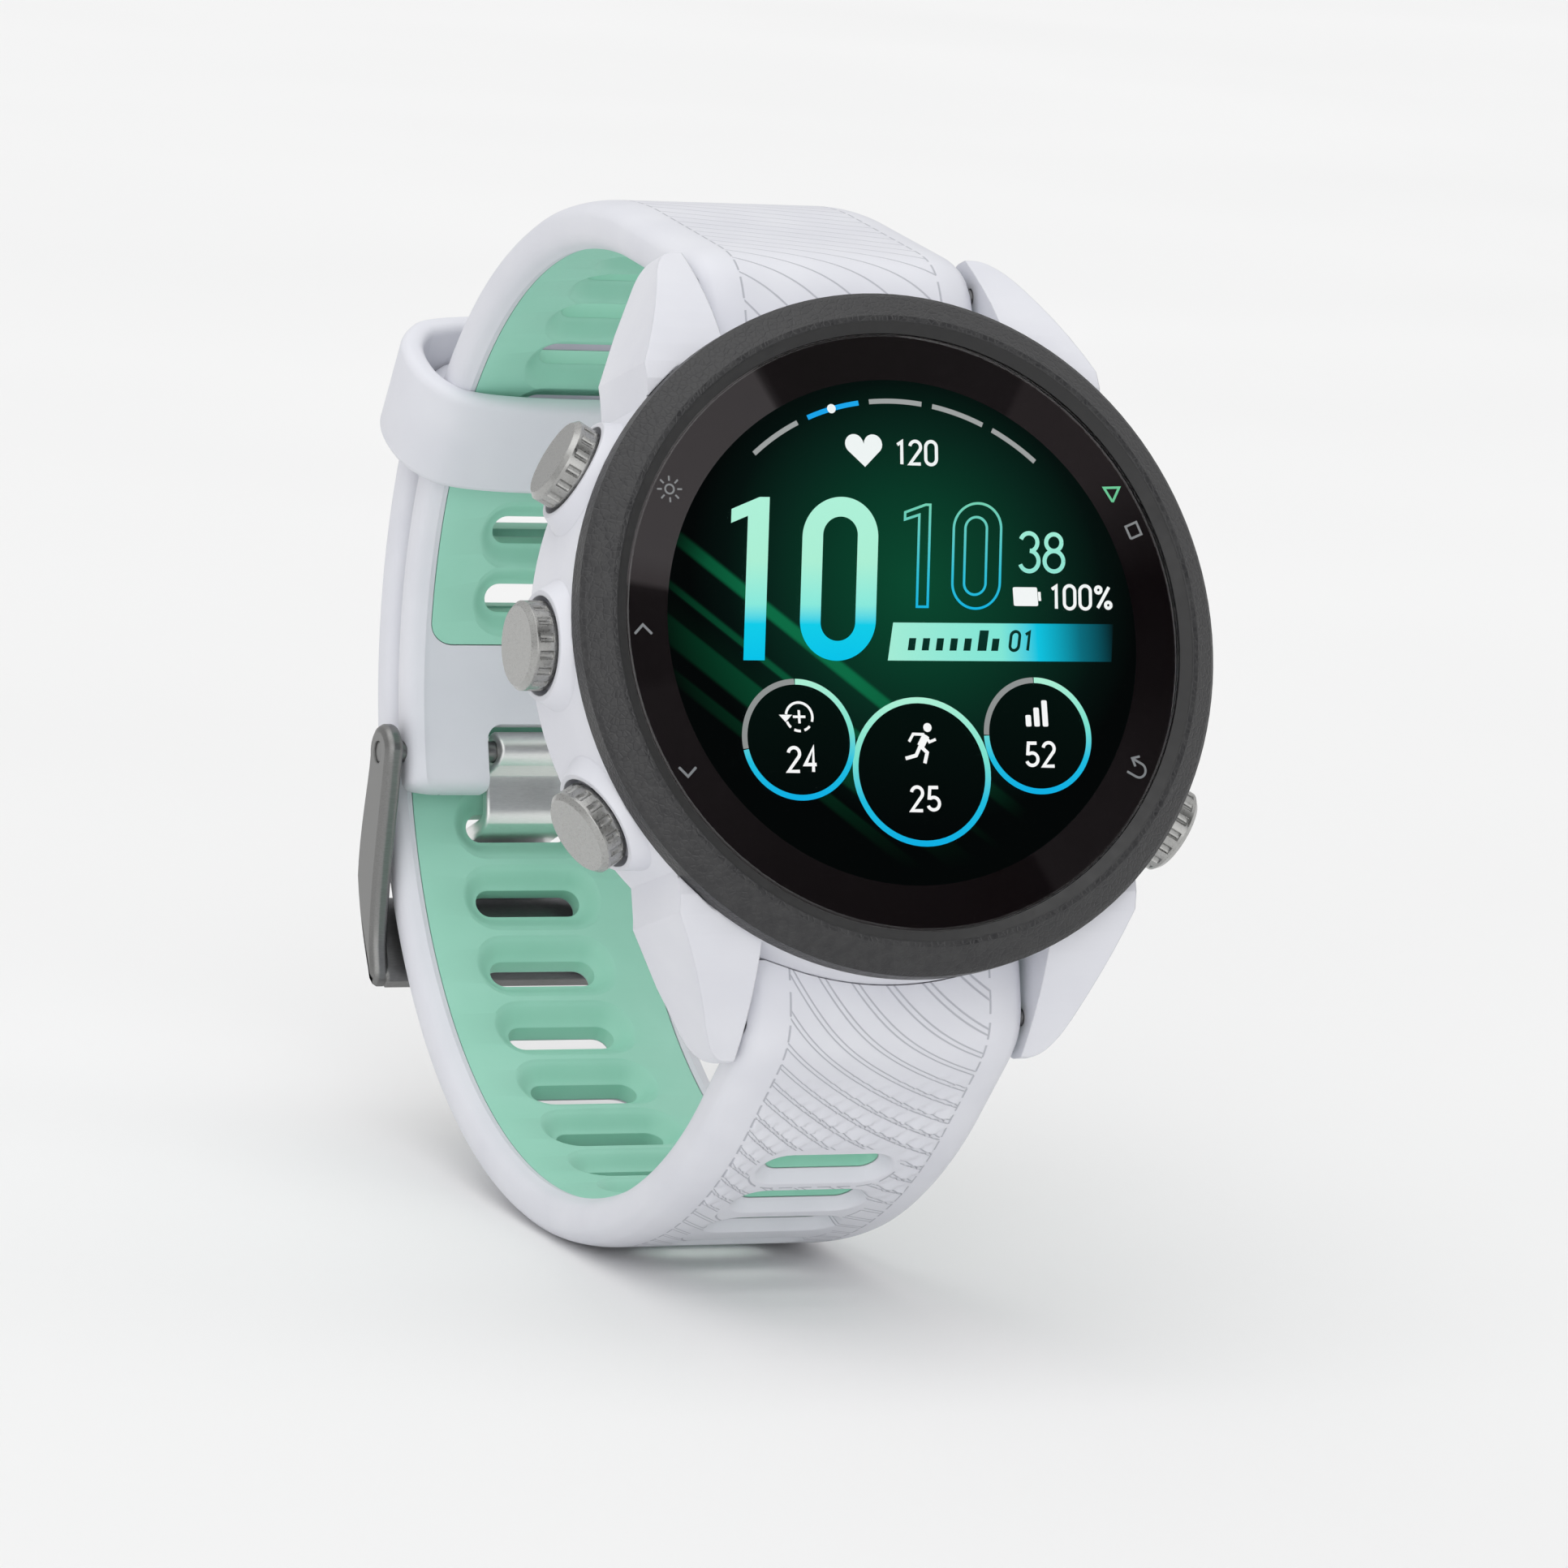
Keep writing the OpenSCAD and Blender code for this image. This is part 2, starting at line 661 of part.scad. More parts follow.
// side outline of an arm, as points on the pin's eye and along the cross plate
module frame_arm() {
  function at(r, a) = [loop_y + r * cos(a), loop_z + r * sin(a)];
  outer = frame_r + frame_t;
  rotate([90, 0, 90]) linear_extrude(height = arm_t) polygon([
    [pin_y - 1.6, pin_z - 1.0], [pin_y - 0.6, pin_z + 1.8], [pin_y + 1.5, pin_z + 1.1],
    for (a = [-4:-3:-19]) at(outer - 0.09 * (a + 19), a) + [-(a + 19) * 0.16, 0],
    at(outer, frame_low + 1), at(frame_r + frame_t / 2, frame_low), at(frame_r, frame_low + 1),
    at(frame_r - 0.6, -17), at(frame_r - 2.2, -10)
  ]);
}

// broad tang: an eye on the pin, a leg down the tail's inner face, and a tip through the slot
module buckle_tang() {
  half = 2.9;
  tang_in = upper_r - 0.55;
  color([0.7, 0.7, 0.69]) difference() {
    union() {
      translate([-half, pin_y, pin_z]) rotate([0, 90, 0]) cylinder(r = 1.35, h = 2 * half);
      sweep(tang_slot - 0.9, pin_a - 1) translate([-half, tang_in]) square([2 * half, 0.9]);
      sweep(tang_slot - 0.9, tang_slot + 0.9) translate([-half, tang_in])
        square([2 * half, frame_r + 1 - tang_in]);
      sweep(frame_top + 0.9, tang_slot + 0.9) translate([-half, frame_r]) square([2 * half, 1]);
    }
    translate([-20, pin_y, pin_z]) rotate([0, 90, 0]) cylinder(r = pin_r + fit, h = 40);
  }
}

posed() mid_case();
posed() bezel();
posed() lens();
posed() lens_seal();
posed() display_panel();
posed() display_flex();
posed() antenna_ring();
posed() inner_frame();
posed() main_board();
posed() board_chips();
posed() battery();
posed() vibration_motor();
posed() buzzer();
posed() pressure_vent();
posed() rear_cover();
posed() rear_seal();
posed() rear_screws();
posed() sensor_lens();
posed() sensor_board();
posed() sensor_leds();
posed() charging_contacts();
posed() tact_switches();
posed() button_sleeves();
posed() button(light_a);  // light_button
posed() clip(light_a);  // light_clip
posed() button_spring(light_a);  // light_spring
posed() button(up_a);  // up_button
posed() clip(up_a);  // up_clip
posed() button_spring(up_a);  // up_spring
posed() button(down_a);  // down_button
posed() clip(down_a);  // down_clip
posed() button_spring(down_a);  // down_spring
posed() button(start_a);  // start_button
posed() clip(start_a);  // start_clip
posed() button_spring(start_a);  // start_spring
posed() button(back_a);  // back_button
posed() clip(back_a);  // back_clip
posed() button_spring(back_a);  // back_spring
posed() upper_strap();
posed() upper_liner();
posed() lower_strap();
posed() lower_liner();
posed() keeper_loop();
posed() bar_tube(1);  // upper_bar_tube
posed() bar_spring(1);  // upper_bar_spring
posed() bar_pin(1);  // upper_bar_pin
posed() bar_tube(-1);  // lower_bar_tube
posed() bar_spring(-1);  // lower_bar_spring
posed() bar_pin(-1);  // lower_bar_pin
posed() buckle_pin();
posed() buckle_frame();
posed() buckle_tang();
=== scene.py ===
"""Looks for a GPS running watch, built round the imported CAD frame.

Pieces are drawn in millimetres in the watch's own axes: the display faces -Y, +Z is twelve
o'clock, +X is three o'clock and the origin is the middle of the lens's outer face.
"""

import json
import math

import bpy
import bmesh
from mathutils import Matrix, Vector

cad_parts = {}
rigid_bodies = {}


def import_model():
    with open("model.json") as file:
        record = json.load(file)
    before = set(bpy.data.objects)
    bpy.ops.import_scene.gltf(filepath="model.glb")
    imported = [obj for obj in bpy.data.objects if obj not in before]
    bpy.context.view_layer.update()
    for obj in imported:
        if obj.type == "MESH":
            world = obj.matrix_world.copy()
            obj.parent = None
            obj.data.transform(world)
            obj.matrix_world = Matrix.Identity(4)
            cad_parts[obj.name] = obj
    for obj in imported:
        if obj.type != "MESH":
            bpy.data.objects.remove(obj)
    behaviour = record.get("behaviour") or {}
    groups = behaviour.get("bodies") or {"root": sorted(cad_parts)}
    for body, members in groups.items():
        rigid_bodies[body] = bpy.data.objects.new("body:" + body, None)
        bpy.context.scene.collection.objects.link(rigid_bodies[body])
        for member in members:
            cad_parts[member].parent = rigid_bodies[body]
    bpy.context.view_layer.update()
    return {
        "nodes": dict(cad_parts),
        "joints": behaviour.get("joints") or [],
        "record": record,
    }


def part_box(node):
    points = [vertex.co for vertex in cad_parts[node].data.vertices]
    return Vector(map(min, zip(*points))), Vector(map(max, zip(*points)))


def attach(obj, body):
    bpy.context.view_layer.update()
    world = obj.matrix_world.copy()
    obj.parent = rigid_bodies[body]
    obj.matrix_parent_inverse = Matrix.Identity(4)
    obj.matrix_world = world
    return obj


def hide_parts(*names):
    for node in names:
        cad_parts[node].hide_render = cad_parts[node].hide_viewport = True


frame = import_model()

MM = 0.001
RECORD = frame["record"]


def cosd(degrees):
    return math.cos(math.radians(degrees))


def sind(degrees):
    return math.sin(math.radians(degrees))


# ---- places, all from the frame ------------------------------------------------------------

glass_mount = next(m for m in RECORD["mounts"] if m["name"] == "display_glass")
lean = math.atan2(glass_mount["axis"][2], -glass_mount["axis"][1])
WATCH = Matrix.Translation(glass_mount["pos_m"]) @ Matrix.Rotation(-lean, 4, "X") @ Matrix.Scale(MM, 4)
TO_WATCH = WATCH.inverted()

joints = {j["name"]: j for j in frame["joints"]}


def joint_at(name):
    """A joint's place in the watch's axes, in millimetres."""
    joint = joints[name]
    return TO_WATCH @ Vector(joint.get("origin_m") or joint.get("pos_m") or joint["anchor_m"])


def node_width(name):
    low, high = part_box(name)
    return (high.x - low.x) / MM


LENS_R = node_width("lens") / 2
STRAP_W = node_width("lower_strap")
STRAP_T = 3.1
LAYER_GAP = 0.7
RIM = 1.6
LINER_T = 1.0
loop = joint_at("keeper_slide")
pin = joint_at("buckle_hinge")
UPPER_R = math.hypot(pin.y - loop.y, pin.z - loop.z) + STRAP_T / 2
LOWER_R = UPPER_R + LAYER_GAP + STRAP_T
TANG_SLOT = -6.0
SLOT_PITCH = 9.3
CLOSE_PITCH = 7.2            # between the two slots next to the watch
SLOT_L, SLOT_H = 7.4, 1.9
LIP_R = 18.9                 # the bezel is smooth inside this radius
UPPER_END, LOWER_END = -3.0, 50.0
WINDOW_LOW, LINER_END = 16.6, 44.0

# ---- meshes --------------------------------------------------------------------------------


def finish_mesh(name, mesh, body, material, sharp=40.0):
    """Makes a piece of a mesh drawn in the watch's axes, and lets it ride on a body."""
    mesh.transform(WATCH)
    mesh.validate()
    mesh.polygons.foreach_set("use_smooth", [True] * len(mesh.polygons))
    mesh.set_sharp_from_angle(angle=math.radians(sharp))
    piece = bpy.data.objects.new(name, mesh)
    bpy.context.scene.collection.objects.link(piece)
    piece.data.materials.clear()
    piece.data.materials.append(material)
    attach(piece, body)
    return piece


def mesh_of(name, vertices, faces):
    mesh = bpy.data.meshes.new(name)
    mesh.from_pydata(vertices, [], faces)
    built = bmesh.new()
    built.from_mesh(mesh)
    bmesh.ops.recalc_face_normals(built, faces=built.faces)
    built.to_mesh(mesh)
    built.free()
    return mesh


class Shape:
    """Collects closed solids as vertices and faces."""

    def __init__(self):
        self.vertices = []
        self.faces = []

    def add(self, vertices, faces):
        start = len(self.vertices)
        self.vertices += [tuple(v) for v in vertices]
        self.faces += [tuple(i + start for i in face) for face in faces]

    def plate(self, outline, front, back):
        """Extrudes an outline of (x, z) points from depth front to depth back."""
        n = len(outline)
        vertices = [(x, front, z) for x, z in outline] + [(x, back, z) for x, z in outline]
        faces = [tuple(range(n)), tuple(reversed(range(n, 2 * n)))]
        faces += [(i, i + n, (i + 1) % n + n, (i + 1) % n) for i in range(n)]
        self.add(vertices, faces)

    def band(self, inner, outer, front, back, closed=True):
        """Extrudes the strip between two lines that have as many points."""
        n = len(inner)
        rows = [[(x, y, z) for x, z in line] for line, y in
                ((outer, front), (inner, front), (inner, back), (outer, back))]
        vertices = [p for row in rows for p in row]
        steps = n if closed else n - 1
        faces = []
        for k in range(4):
            for i in range(steps):
                j = (i + 1) % n
                a, b = k * n, ((k + 1) % 4) * n
                faces.append((a + i, a + j, b + j, b + i))
        if not closed:
            faces.append((0, n, 2 * n, 3 * n))
            faces.append((4 * n - 1, 3 * n - 1, 2 * n - 1, n - 1))
        self.add(vertices, faces)

    def mesh(self, name):
        return mesh_of(name, self.vertices, self.faces)


def loft_faces(rows, n):
    """Faces of a closed solid of rows of n points each, with both ends closed."""
    faces = [(i * n + j, i * n + (j + 1) % n, (i + 1) * n + (j + 1) % n, (i + 1) * n + j)
             for i in range(rows - 1) for j in range(n)]
    return faces + [tuple(range(n)), tuple(reversed(range((rows - 1) * n, rows * n)))]


def lathe(profile, steps=160):
    """Turns a closed profile of (radius, depth) points round the watch's axis."""
    n = len(profile)
    vertices, faces = [], []
    for i in range(steps):
        a = math.tau * i / steps
        vertices += [(r * math.cos(a), y, r * math.sin(a)) for r, y in profile]
    for i in range(steps):
        for j in range(n):
            a, b = i * n, ((i + 1) % steps) * n
            k = (j + 1) % n
            faces.append((a + j, a + k, b + k, b + j))
    return vertices, faces


# ---- node materials ------------------------------------------------------------------------


def linear(code):
    """A colour written like #d5d7e3, as linear RGBA."""
    parts = [int(code[i:i + 2], 16) / 255 for i in (1, 3, 5)]
    return tuple(c / 12.92 if c <= 0.04045 else ((c + 0.055) / 1.055) ** 2.4 for c in parts) + (1.0,)


class Nodes:
    """A small helper for building a material's node tree."""

    def __init__(self, name):
        self.material = bpy.data.materials.new(name)
        self.material.use_nodes = True
        self.tree = self.material.node_tree
        self.tree.nodes.clear()
        self.out = self.new("ShaderNodeOutputMaterial")
        self.bsdf = self.new("ShaderNodeBsdfPrincipled")
        self.link(self.bsdf.outputs[0], self.out.inputs["Surface"])

    def new(self, kind, **values):
        node = self.tree.nodes.new(kind)
        for key, value in values.items():
            setattr(node, key, value)
        return node

    def link(self, a, b):
        self.tree.links.new(a, b)

    def place(self):
        """Surface position in the watch's axes, in millimetres."""
        coords = self.new("ShaderNodeTexCoord")
        mapping = self.new("ShaderNodeMapping")
        where, turn, size = TO_WATCH.decompose()
        mapping.inputs["Location"].default_value = where
        mapping.inputs["Rotation"].default_value = turn.to_euler()
        mapping.inputs["Scale"].default_value = size
        self.link(coords.outputs["Object"], mapping.inputs["Vector"])
        return mapping.outputs["Vector"]

    def maths(self, operation, a, b=None, clamp=False):
        node = self.new("ShaderNodeMath", operation=operation, use_clamp=clamp)
        for socket, value in zip(node.inputs, (a, b)):
            if value is None:
                continue
            if isinstance(value, (int, float)):
                socket.default_value = value
            else:
                self.link(value, socket)
        return node.outputs[0]

    def add(self, a, b):
        return self.maths("ADD", a, b)

    def sub(self, a, b):
        return self.maths("SUBTRACT", a, b)

    def mul(self, a, b):
        return self.maths("MULTIPLY", a, b)

    def most(self, a, b):
        return self.maths("MAXIMUM", a, b)

    def positive(self, a):
        return self.maths("ABSOLUTE", a)

    def axis(self, vector, name):
        """One coordinate of a vector."""
        node = self.new("ShaderNodeSeparateXYZ")
        self.link(vector, node.inputs[0])
        return node.outputs[name]

    def tint(self, factor, a, b):
        """Runs from colour a to colour b, each a socket or a code."""
        node = self.new("ShaderNodeMix", data_type="RGBA")
        self.link(factor, node.inputs["Factor"])
        for key, value in (("A", a), ("B", b)):
            if isinstance(value, str):
                node.inputs[key].default_value = linear(value)
            else:
                self.link(value, node.inputs[key])
        return node.outputs["Result"]

    def glow(self, colour):
        """Makes the surface shine with a colour of its own and mirror nothing."""
        self.bsdf.inputs["Specular IOR Level"].default_value = 0.0
        self.link(colour, self.bsdf.inputs["Emission Color"])
        self.bsdf.inputs["Emission Strength"].default_value = 1.0

    def noise(self, vector, scale, detail=3.0, roughness=0.5):
        node = self.new("ShaderNodeTexNoise")
        node.inputs["Scale"].default_value = scale
        node.inputs["Detail"].default_value = detail
        node.inputs["Roughness"].default_value = roughness
        self.link(vector, node.inputs["Vector"])
        return node.outputs["Fac"]

    def ramp(self, factor, stops, interpolation="LINEAR"):
        """A colour ramp of (position, colour) stops."""
        node = self.new("ShaderNodeValToRGB")
        node.color_ramp.interpolation = interpolation
        elements = node.color_ramp.elements
        while len(elements) < len(stops):
            elements.new(0.5)
        for element, (position, colour) in zip(elements, sorted(stops, key=lambda s: s[0])):
            element.position = position
            element.color = linear(colour) if isinstance(colour, str) else colour
        self.link(factor, node.inputs[0])
        return node.outputs["Color"]

    def spread(self, value, low, high, to_low, to_high):
        node = self.new("ShaderNodeMapRange")
        for key, number in zip(("From Min", "From Max", "To Min", "To Max"), (low, high, to_low, to_high)):
            node.inputs[key].default_value = number
        self.link(value, node.inputs["Value"])
        return node.outputs[0]

    def rough(self, value, low, high):
        """Roughness that varies with a texture between two values."""
        self.link(self.spread(value, 0.3, 0.7, low, high), self.bsdf.inputs["Roughness"])

    def bump(self, height, strength, distance, edge=0.0):
        """Bump of a height, over edges that are eased by a radius in millimetres."""
        node = self.new("ShaderNodeBump")
        node.inputs["Strength"].default_value = strength
        node.inputs["Distance"].default_value = distance * MM
        self.link(height, node.inputs["Height"])
        if edge:
            bevel = self.new("ShaderNodeBevel", samples=4)
            bevel.inputs["Radius"].default_value = edge * MM
            self.link(bevel.outputs[0], node.inputs["Normal"])
        self.link(node.outputs[0], self.bsdf.inputs["Normal"])


def moulded(name, colour, shade, roughness=0.45, grain=3.0, strength=0.25, edge=0.12, coat=0.0):
    """Moulded polymer or rubber: fine grain, cloudy tone and eased edges."""
    n = Nodes(name)
    place = n.place()
    cloud = n.noise(place, 0.18, 2.0)
    fine = n.noise(place, grain, 4.0, 0.65)
    n.link(n.ramp(cloud, [(0.3, shade), (0.7, colour)]), n.bsdf.inputs["Base Color"])
    n.rough(fine, roughness - 0.05, roughness + 0.07)
    n.bump(fine, strength, 0.02, edge)
    n.bsdf.inputs["Coat Weight"].default_value = coat
    return n.material


def leather(name, colour, shade, lip):
    """Dark polymer with a moulded leather grain, and a smoother, darker lip round the lens."""
    n = Nodes(name)
    place = n.place()
    x, z = n.axis(place, "X"), n.axis(place, "Z")
    squares = n.add(n.mul(x, x), n.mul(z, z))
    grained = n.spread(n.maths("SQRT", squares), LIP_R - 0.05, LIP_R + 0.05, 0.0, 1.0)
    wrinkle = n.noise(place, 1.4, 4.0, 0.6)
    cells = n.new("ShaderNodeTexVoronoi", feature="DISTANCE_TO_EDGE")
    cells.inputs["Scale"].default_value = 2.6
    n.link(place, cells.inputs["Vector"])
    pits = n.spread(cells.outputs["Distance"], 0.0, 0.16, 0.0, 1.0)
    height = n.add(n.mul(pits, 0.45), wrinkle)
    tone = n.ramp(wrinkle, [(0.35, shade), (0.65, colour)])
    n.link(n.tint(grained, lip, tone), n.bsdf.inputs["Base Color"])
    n.rough(wrinkle, 0.36, 0.52)
    n.bump(n.mul(height, grained), 0.6, 0.07, 0.06)
    return n.material


def metal(name, colour, shade, roughness=0.3, streak=(1.0, 1.0, 1.0), scale=3.0, strength=0.06, edge=0.06):
    """Satin metal with fine marks; streak stretches them along an axis."""
    n = Nodes(name)
    place = n.place()
    stretch = n.new("ShaderNodeMapping")
    stretch.inputs["Scale"].default_value = streak
    n.link(place, stretch.inputs["Vector"])
    marks = n.noise(stretch.outputs[0], scale, 5.0, 0.7)
    n.link(n.ramp(marks, [(0.3, shade), (0.7, colour)]), n.bsdf.inputs["Base Color"])
    n.bsdf.inputs["Metallic"].default_value = 1.0
    n.rough(marks, roughness - 0.04, roughness + 0.08)
    n.bump(marks, strength, 0.02, edge)
    return n.material


def glass(name):
    n = Nodes(name)
    place = n.place()
    smear = n.noise(place, 0.15, 3.0)
    n.bsdf.inputs["Base Color"].default_value = (1, 1, 1, 1)
    n.bsdf.inputs["Transmission Weight"].default_value = 1.0
    n.bsdf.inputs["IOR"].default_value = 1.45
    n.link(n.spread(smear, 0.3, 0.8, 0.0, 0.03), n.bsdf.inputs["Roughness"])
    return n.material


def lit(name, stops, low, high, along="Z"):
    """A glowing part: its colour runs over stops from low to high along an axis. On the display the glow is
    its own light; on the printed signs it is painted light.
    """
    n = Nodes(name)
    share = n.spread(n.axis(n.place(), along), low, high, 0.0, 1.0)
    n.bsdf.inputs["Base Color"].default_value = (0, 0, 0, 1)
    n.bsdf.inputs["Roughness"].default_value = 0.6
    n.glow(n.ramp(share, stops))
    return n.material


# ---- the display's picture -----------------------------------------------------------------

SCREEN_R = 15.4
GLASS_T = 0.38
PICTURE = GLASS_T + 0.02
PICTURE_T = 0.02
LEAN = 0.105                  # how far upright strokes lean, per unit of height


def arc(cx, cz, r, start, end, steps=24, rz=None):
    """Points on an arc, in degrees counter-clockwise from three o'clock."""
    rz = r if rz is None else rz
    return [(cx + r * cosd(start + (end - start) * i / steps),
             cz + rz * sind(start + (end - start) * i / steps)) for i in range(steps + 1)]


def rounded_box(x0, z0, x1, z1, r, steps=8):
    return (arc(x1 - r, z1 - r, r, 0, 90, steps) + arc(x0 + r, z1 - r, r, 90, 180, steps)
            + arc(x0 + r, z0 + r, r, 180, 270, steps) + arc(x1 - r, z0 + r, r, 270, 360, steps))


def offset_line(points, distance):
    """The line shifted sideways by a distance, with mitred corners."""
    shifted = []
    for i, (x, z) in enumerate(points):
        ax, az = points[max(i - 1, 0)]
        bx, bz = points[min(i + 1, len(points) - 1)]
        before = Vector((x - ax, z - az))
        after = Vector((bx - x, bz - z))
        if before.length < 1e-9:
            before = after
        if after.length < 1e-9:
            after = before
        before.normalize()
        after.normalize()
        along = (before + after).normalized()
        spread = distance / max(0.5, along.dot(before))
        shifted.append((x - along.y * spread, z + along.x * spread))
    return shifted


def stroke(shape, points, width, front=PICTURE, back=PICTURE + PICTURE_T):
    """A line of constant width."""
    shape.band(offset_line(points, -width / 2), offset_line(points, width / 2), front, back, closed=False)


def digit_lines(character):
    """Centre lines of a digit in a box one unit high, and the digit's width."""
    w = 0.5
    r = w / 2
    lines = {
        "0": [arc(r, 1 - r, r, 0, 180) + arc(r, r, r, 180, 360) + [(w, 1 - r)]],
        "1": [[(0.06, 0.84), (0.26, 0.97), (0.26, 0.0)]],
        "2": [arc(r, 1 - r, r, 170, -35) + [(0.0, 0.02), (w, 0.02)]],
        "3": [arc(r - 0.01, 0.76, 0.24, 160, -80), arc(r - 0.01, 0.27, 0.27, 85, -160)],
        "4": [[(0.36, 0.0), (0.36, 1.0), (0.0, 0.3), (w, 0.3)]],
        "5": [[(0.45, 0.98), (0.08, 0.98), (0.04, 0.54)] + arc(r - 0.01, 0.31, 0.26, 120, -160)],
        "8": [arc(r, 0.76, 0.22, 0, 360), arc(r, 0.27, 0.27, 0, 360)],
        "%": [arc(0.14, 0.83, 0.13, 0, 360), arc(0.6, 0.17, 0.13, 0, 360), [(0.64, 0.95), (0.1, 0.05)]],
    }
    width = {"1": 0.4, "%": 0.74}.get(character, w)
    return lines[character], width


def number(shape, digits, x, z, height, width, slope=0.0, gap=0.2):
    """Writes digits of constant stroke width from (x, z), the lower left corner."""
    inner = height - width
    for character in digits:
        lines, wide = digit_lines(character)
        for line in lines:
            left, foot = x + width / 2, z + width / 2
            placed = [(left + (px + slope * pz) * inner, foot + pz * inner) for px, pz in line]
            stroke(shape, placed, width)
        x += wide * inner + width + gap * height * 0.5
    return x


def sheared(points, foot):
    return [(x + (z - foot) * LEAN, z) for x, z in points]


def picture_piece(name, shape, material):
    return finish_mesh(name, shape.mesh(name), "watch", material, 30)


MINT, AQUA = "#b0f6db", "#10b5ea"
HOURS_RUN = [(0.0, "#08c8f0"), (0.22, "#12d2ef"), (0.34, "#8df0e2"), (0.6, MINT), (1.0, "#b4f8df")]
hours_paint = lit("hours_light", HOURS_RUN, -1.8, 8.2)
minutes_paint = lit("minutes_light", [(0.0, "#14b9e6"), (0.35, "#35c6dc"), (1.0, "#79d8b8")], 1.3, 8.0)
white_paint = lit("white_light", [(0.0, "#ffffff"), (1.0, "#f4fbfa")], -12.0, 14.0)
mint_paint = lit("mint_light", [(0.0, "#92e9d8"), (1.0, "#a5f4dc")], 3.5, 6.3)
grey_paint = lit("grey_light", [(0.0, "#8d9190"), (1.0, "#a2a6a5")], -10.0, 14.0)
blue_paint = lit("blue_light", [(0.0, "#18a0ea"), (1.0, "#1fb0f5")], -9.0, 0.0, "X")
dark_paint = lit("dark_print", [(0.0, "#06281f"), (1.0, "#0a3a30")], -2.0, 1.0)

# big hours: a one and a nought
FOOT, HEAD = -1.8, 8.1
hours = Shape()
hours.plate(sheared([(-10.67, FOOT), (-9.3, FOOT), (-9.3, HEAD), (-9.95, HEAD), (-11.75, HEAD - 0.75),
                     (-11.75, HEAD - 1.6), (-10.67, HEAD - 1.15)], FOOT), PICTURE, PICTURE + PICTURE_T)


def nought(shape, x0, x1, z0, z1, side, top):
    """A tall nought: two round-ended outlines, sheared."""
    r = (x1 - x0) / 2
    outer = rounded_box(x0, z0, x1, z1, r, 20)
    inner = rounded_box(x0 + side, z0 + top, x1 - side, z1 - top, r - side, 20)
    shape.band(sheared(inner, z0), sheared(outer, z0), PICTURE, PICTURE + PICTURE_T)


nought(hours, -7.08, -2.12, FOOT, 8.18, 1.34, 1.2)
picture_piece("picture_hours", hours, hours_paint)

# minutes: the same figures as outlines
minutes = Shape()
LINE = 0.15
one = sheared([(0.82, 1.45), (1.68, 1.45), (1.68, 7.85), (1.28, 7.85), (-0.12, 7.35), (-0.12, 6.75),
               (0.82, 7.05)], 1.45)
ring_one = one + [one[0]]
closed_one = [ring_one[-2]] + ring_one + [ring_one[1]]
inner_one = offset_line(closed_one, LINE)[1:-2]
minutes.band(inner_one, one, PICTURE, PICTURE + PICTURE_T)
nought(minutes, 3.12, 6.42, 1.37, 7.98, LINE, LINE)
nought(minutes, 3.98, 5.56, 2.22, 7.13, LINE, LINE)
picture_piece("picture_minutes", minutes, minutes_paint)

small = Shape()
number(small, "38", 7.85, 3.64, 2.6, 0.26, 0.07, 0.16)
picture_piece("picture_seconds", small, mint_paint)

white = Shape()
number(white, "100%", 9.72, 1.38, 1.62, 0.2, 0.06, 0.17)
number(white, "120", 0.1, 10.14, 1.62, 0.2, 0.06, 0.17)
number(white, "24", -8.32, -8.62, 1.66, 0.2, 0.05, 0.2)
number(white, "25", -0.45, -11.0, 1.66, 0.2, 0.05, 0.2)
number(white, "52", 7.38, -8.3, 1.66, 0.2, 0.05, 0.2)
# battery
white.plate(rounded_box(7.36, 1.63, 8.98, 2.78, 0.1, 3), PICTURE, PICTURE + PICTURE_T)
white.plate([(9.02, 1.95), (9.2, 1.95), (9.2, 2.5), (9.02, 2.5)], PICTURE, PICTURE + PICTURE_T)
# heart
heart_x, heart_z = -1.87, 11.42
heart = [(heart_x + 0.62 + 0.6 * cosd(a), heart_z + 0.02 + 0.6 * sind(a))
         for a in range(-40, 181, 20)]
heart += [(2 * heart_x - x, z) for x, z in reversed(heart[:-1])]
heart += [(heart_x, heart_z - 1.38)]
white.plate(heart, PICTURE, PICTURE + PICTURE_T)
# gauge marker
GAUGE_R = 14.1
mark = math.radians(105.8)
mark_x, mark_z = GAUGE_R * math.cos(mark), GAUGE_R * math.sin(mark)
white.plate(arc(mark_x, mark_z, 0.28, 0, 345, 23), PICTURE - 0.008, PICTURE + PICTURE_T)
# running figure
run_x, run_z = 0.5, -6.85
white.plate(arc(run_x + 0.55, run_z + 1.02, 0.27, 0, 345, 23), PICTURE, PICTURE + PICTURE_T)
for line, wide in (
    ([(0.42, 0.55), (0.02, -0.12)], 0.46),
    ([(0.3, 0.6), (-0.42, 0.62), (-0.72, 0.16)], 0.17),
    ([(0.4, 0.5), (0.62, 0.14), (1.04, 0.3)], 0.17),
    ([(0.05, -0.15), (0.42, -0.5), (0.22, -1.15)], 0.22),
    ([(0.0, -0.1), (-0.32, -0.68), (-1.02, -0.86)], 0.22),
):
    stroke(white, [(run_x + x, run_z + z) for x, z in line], wide)
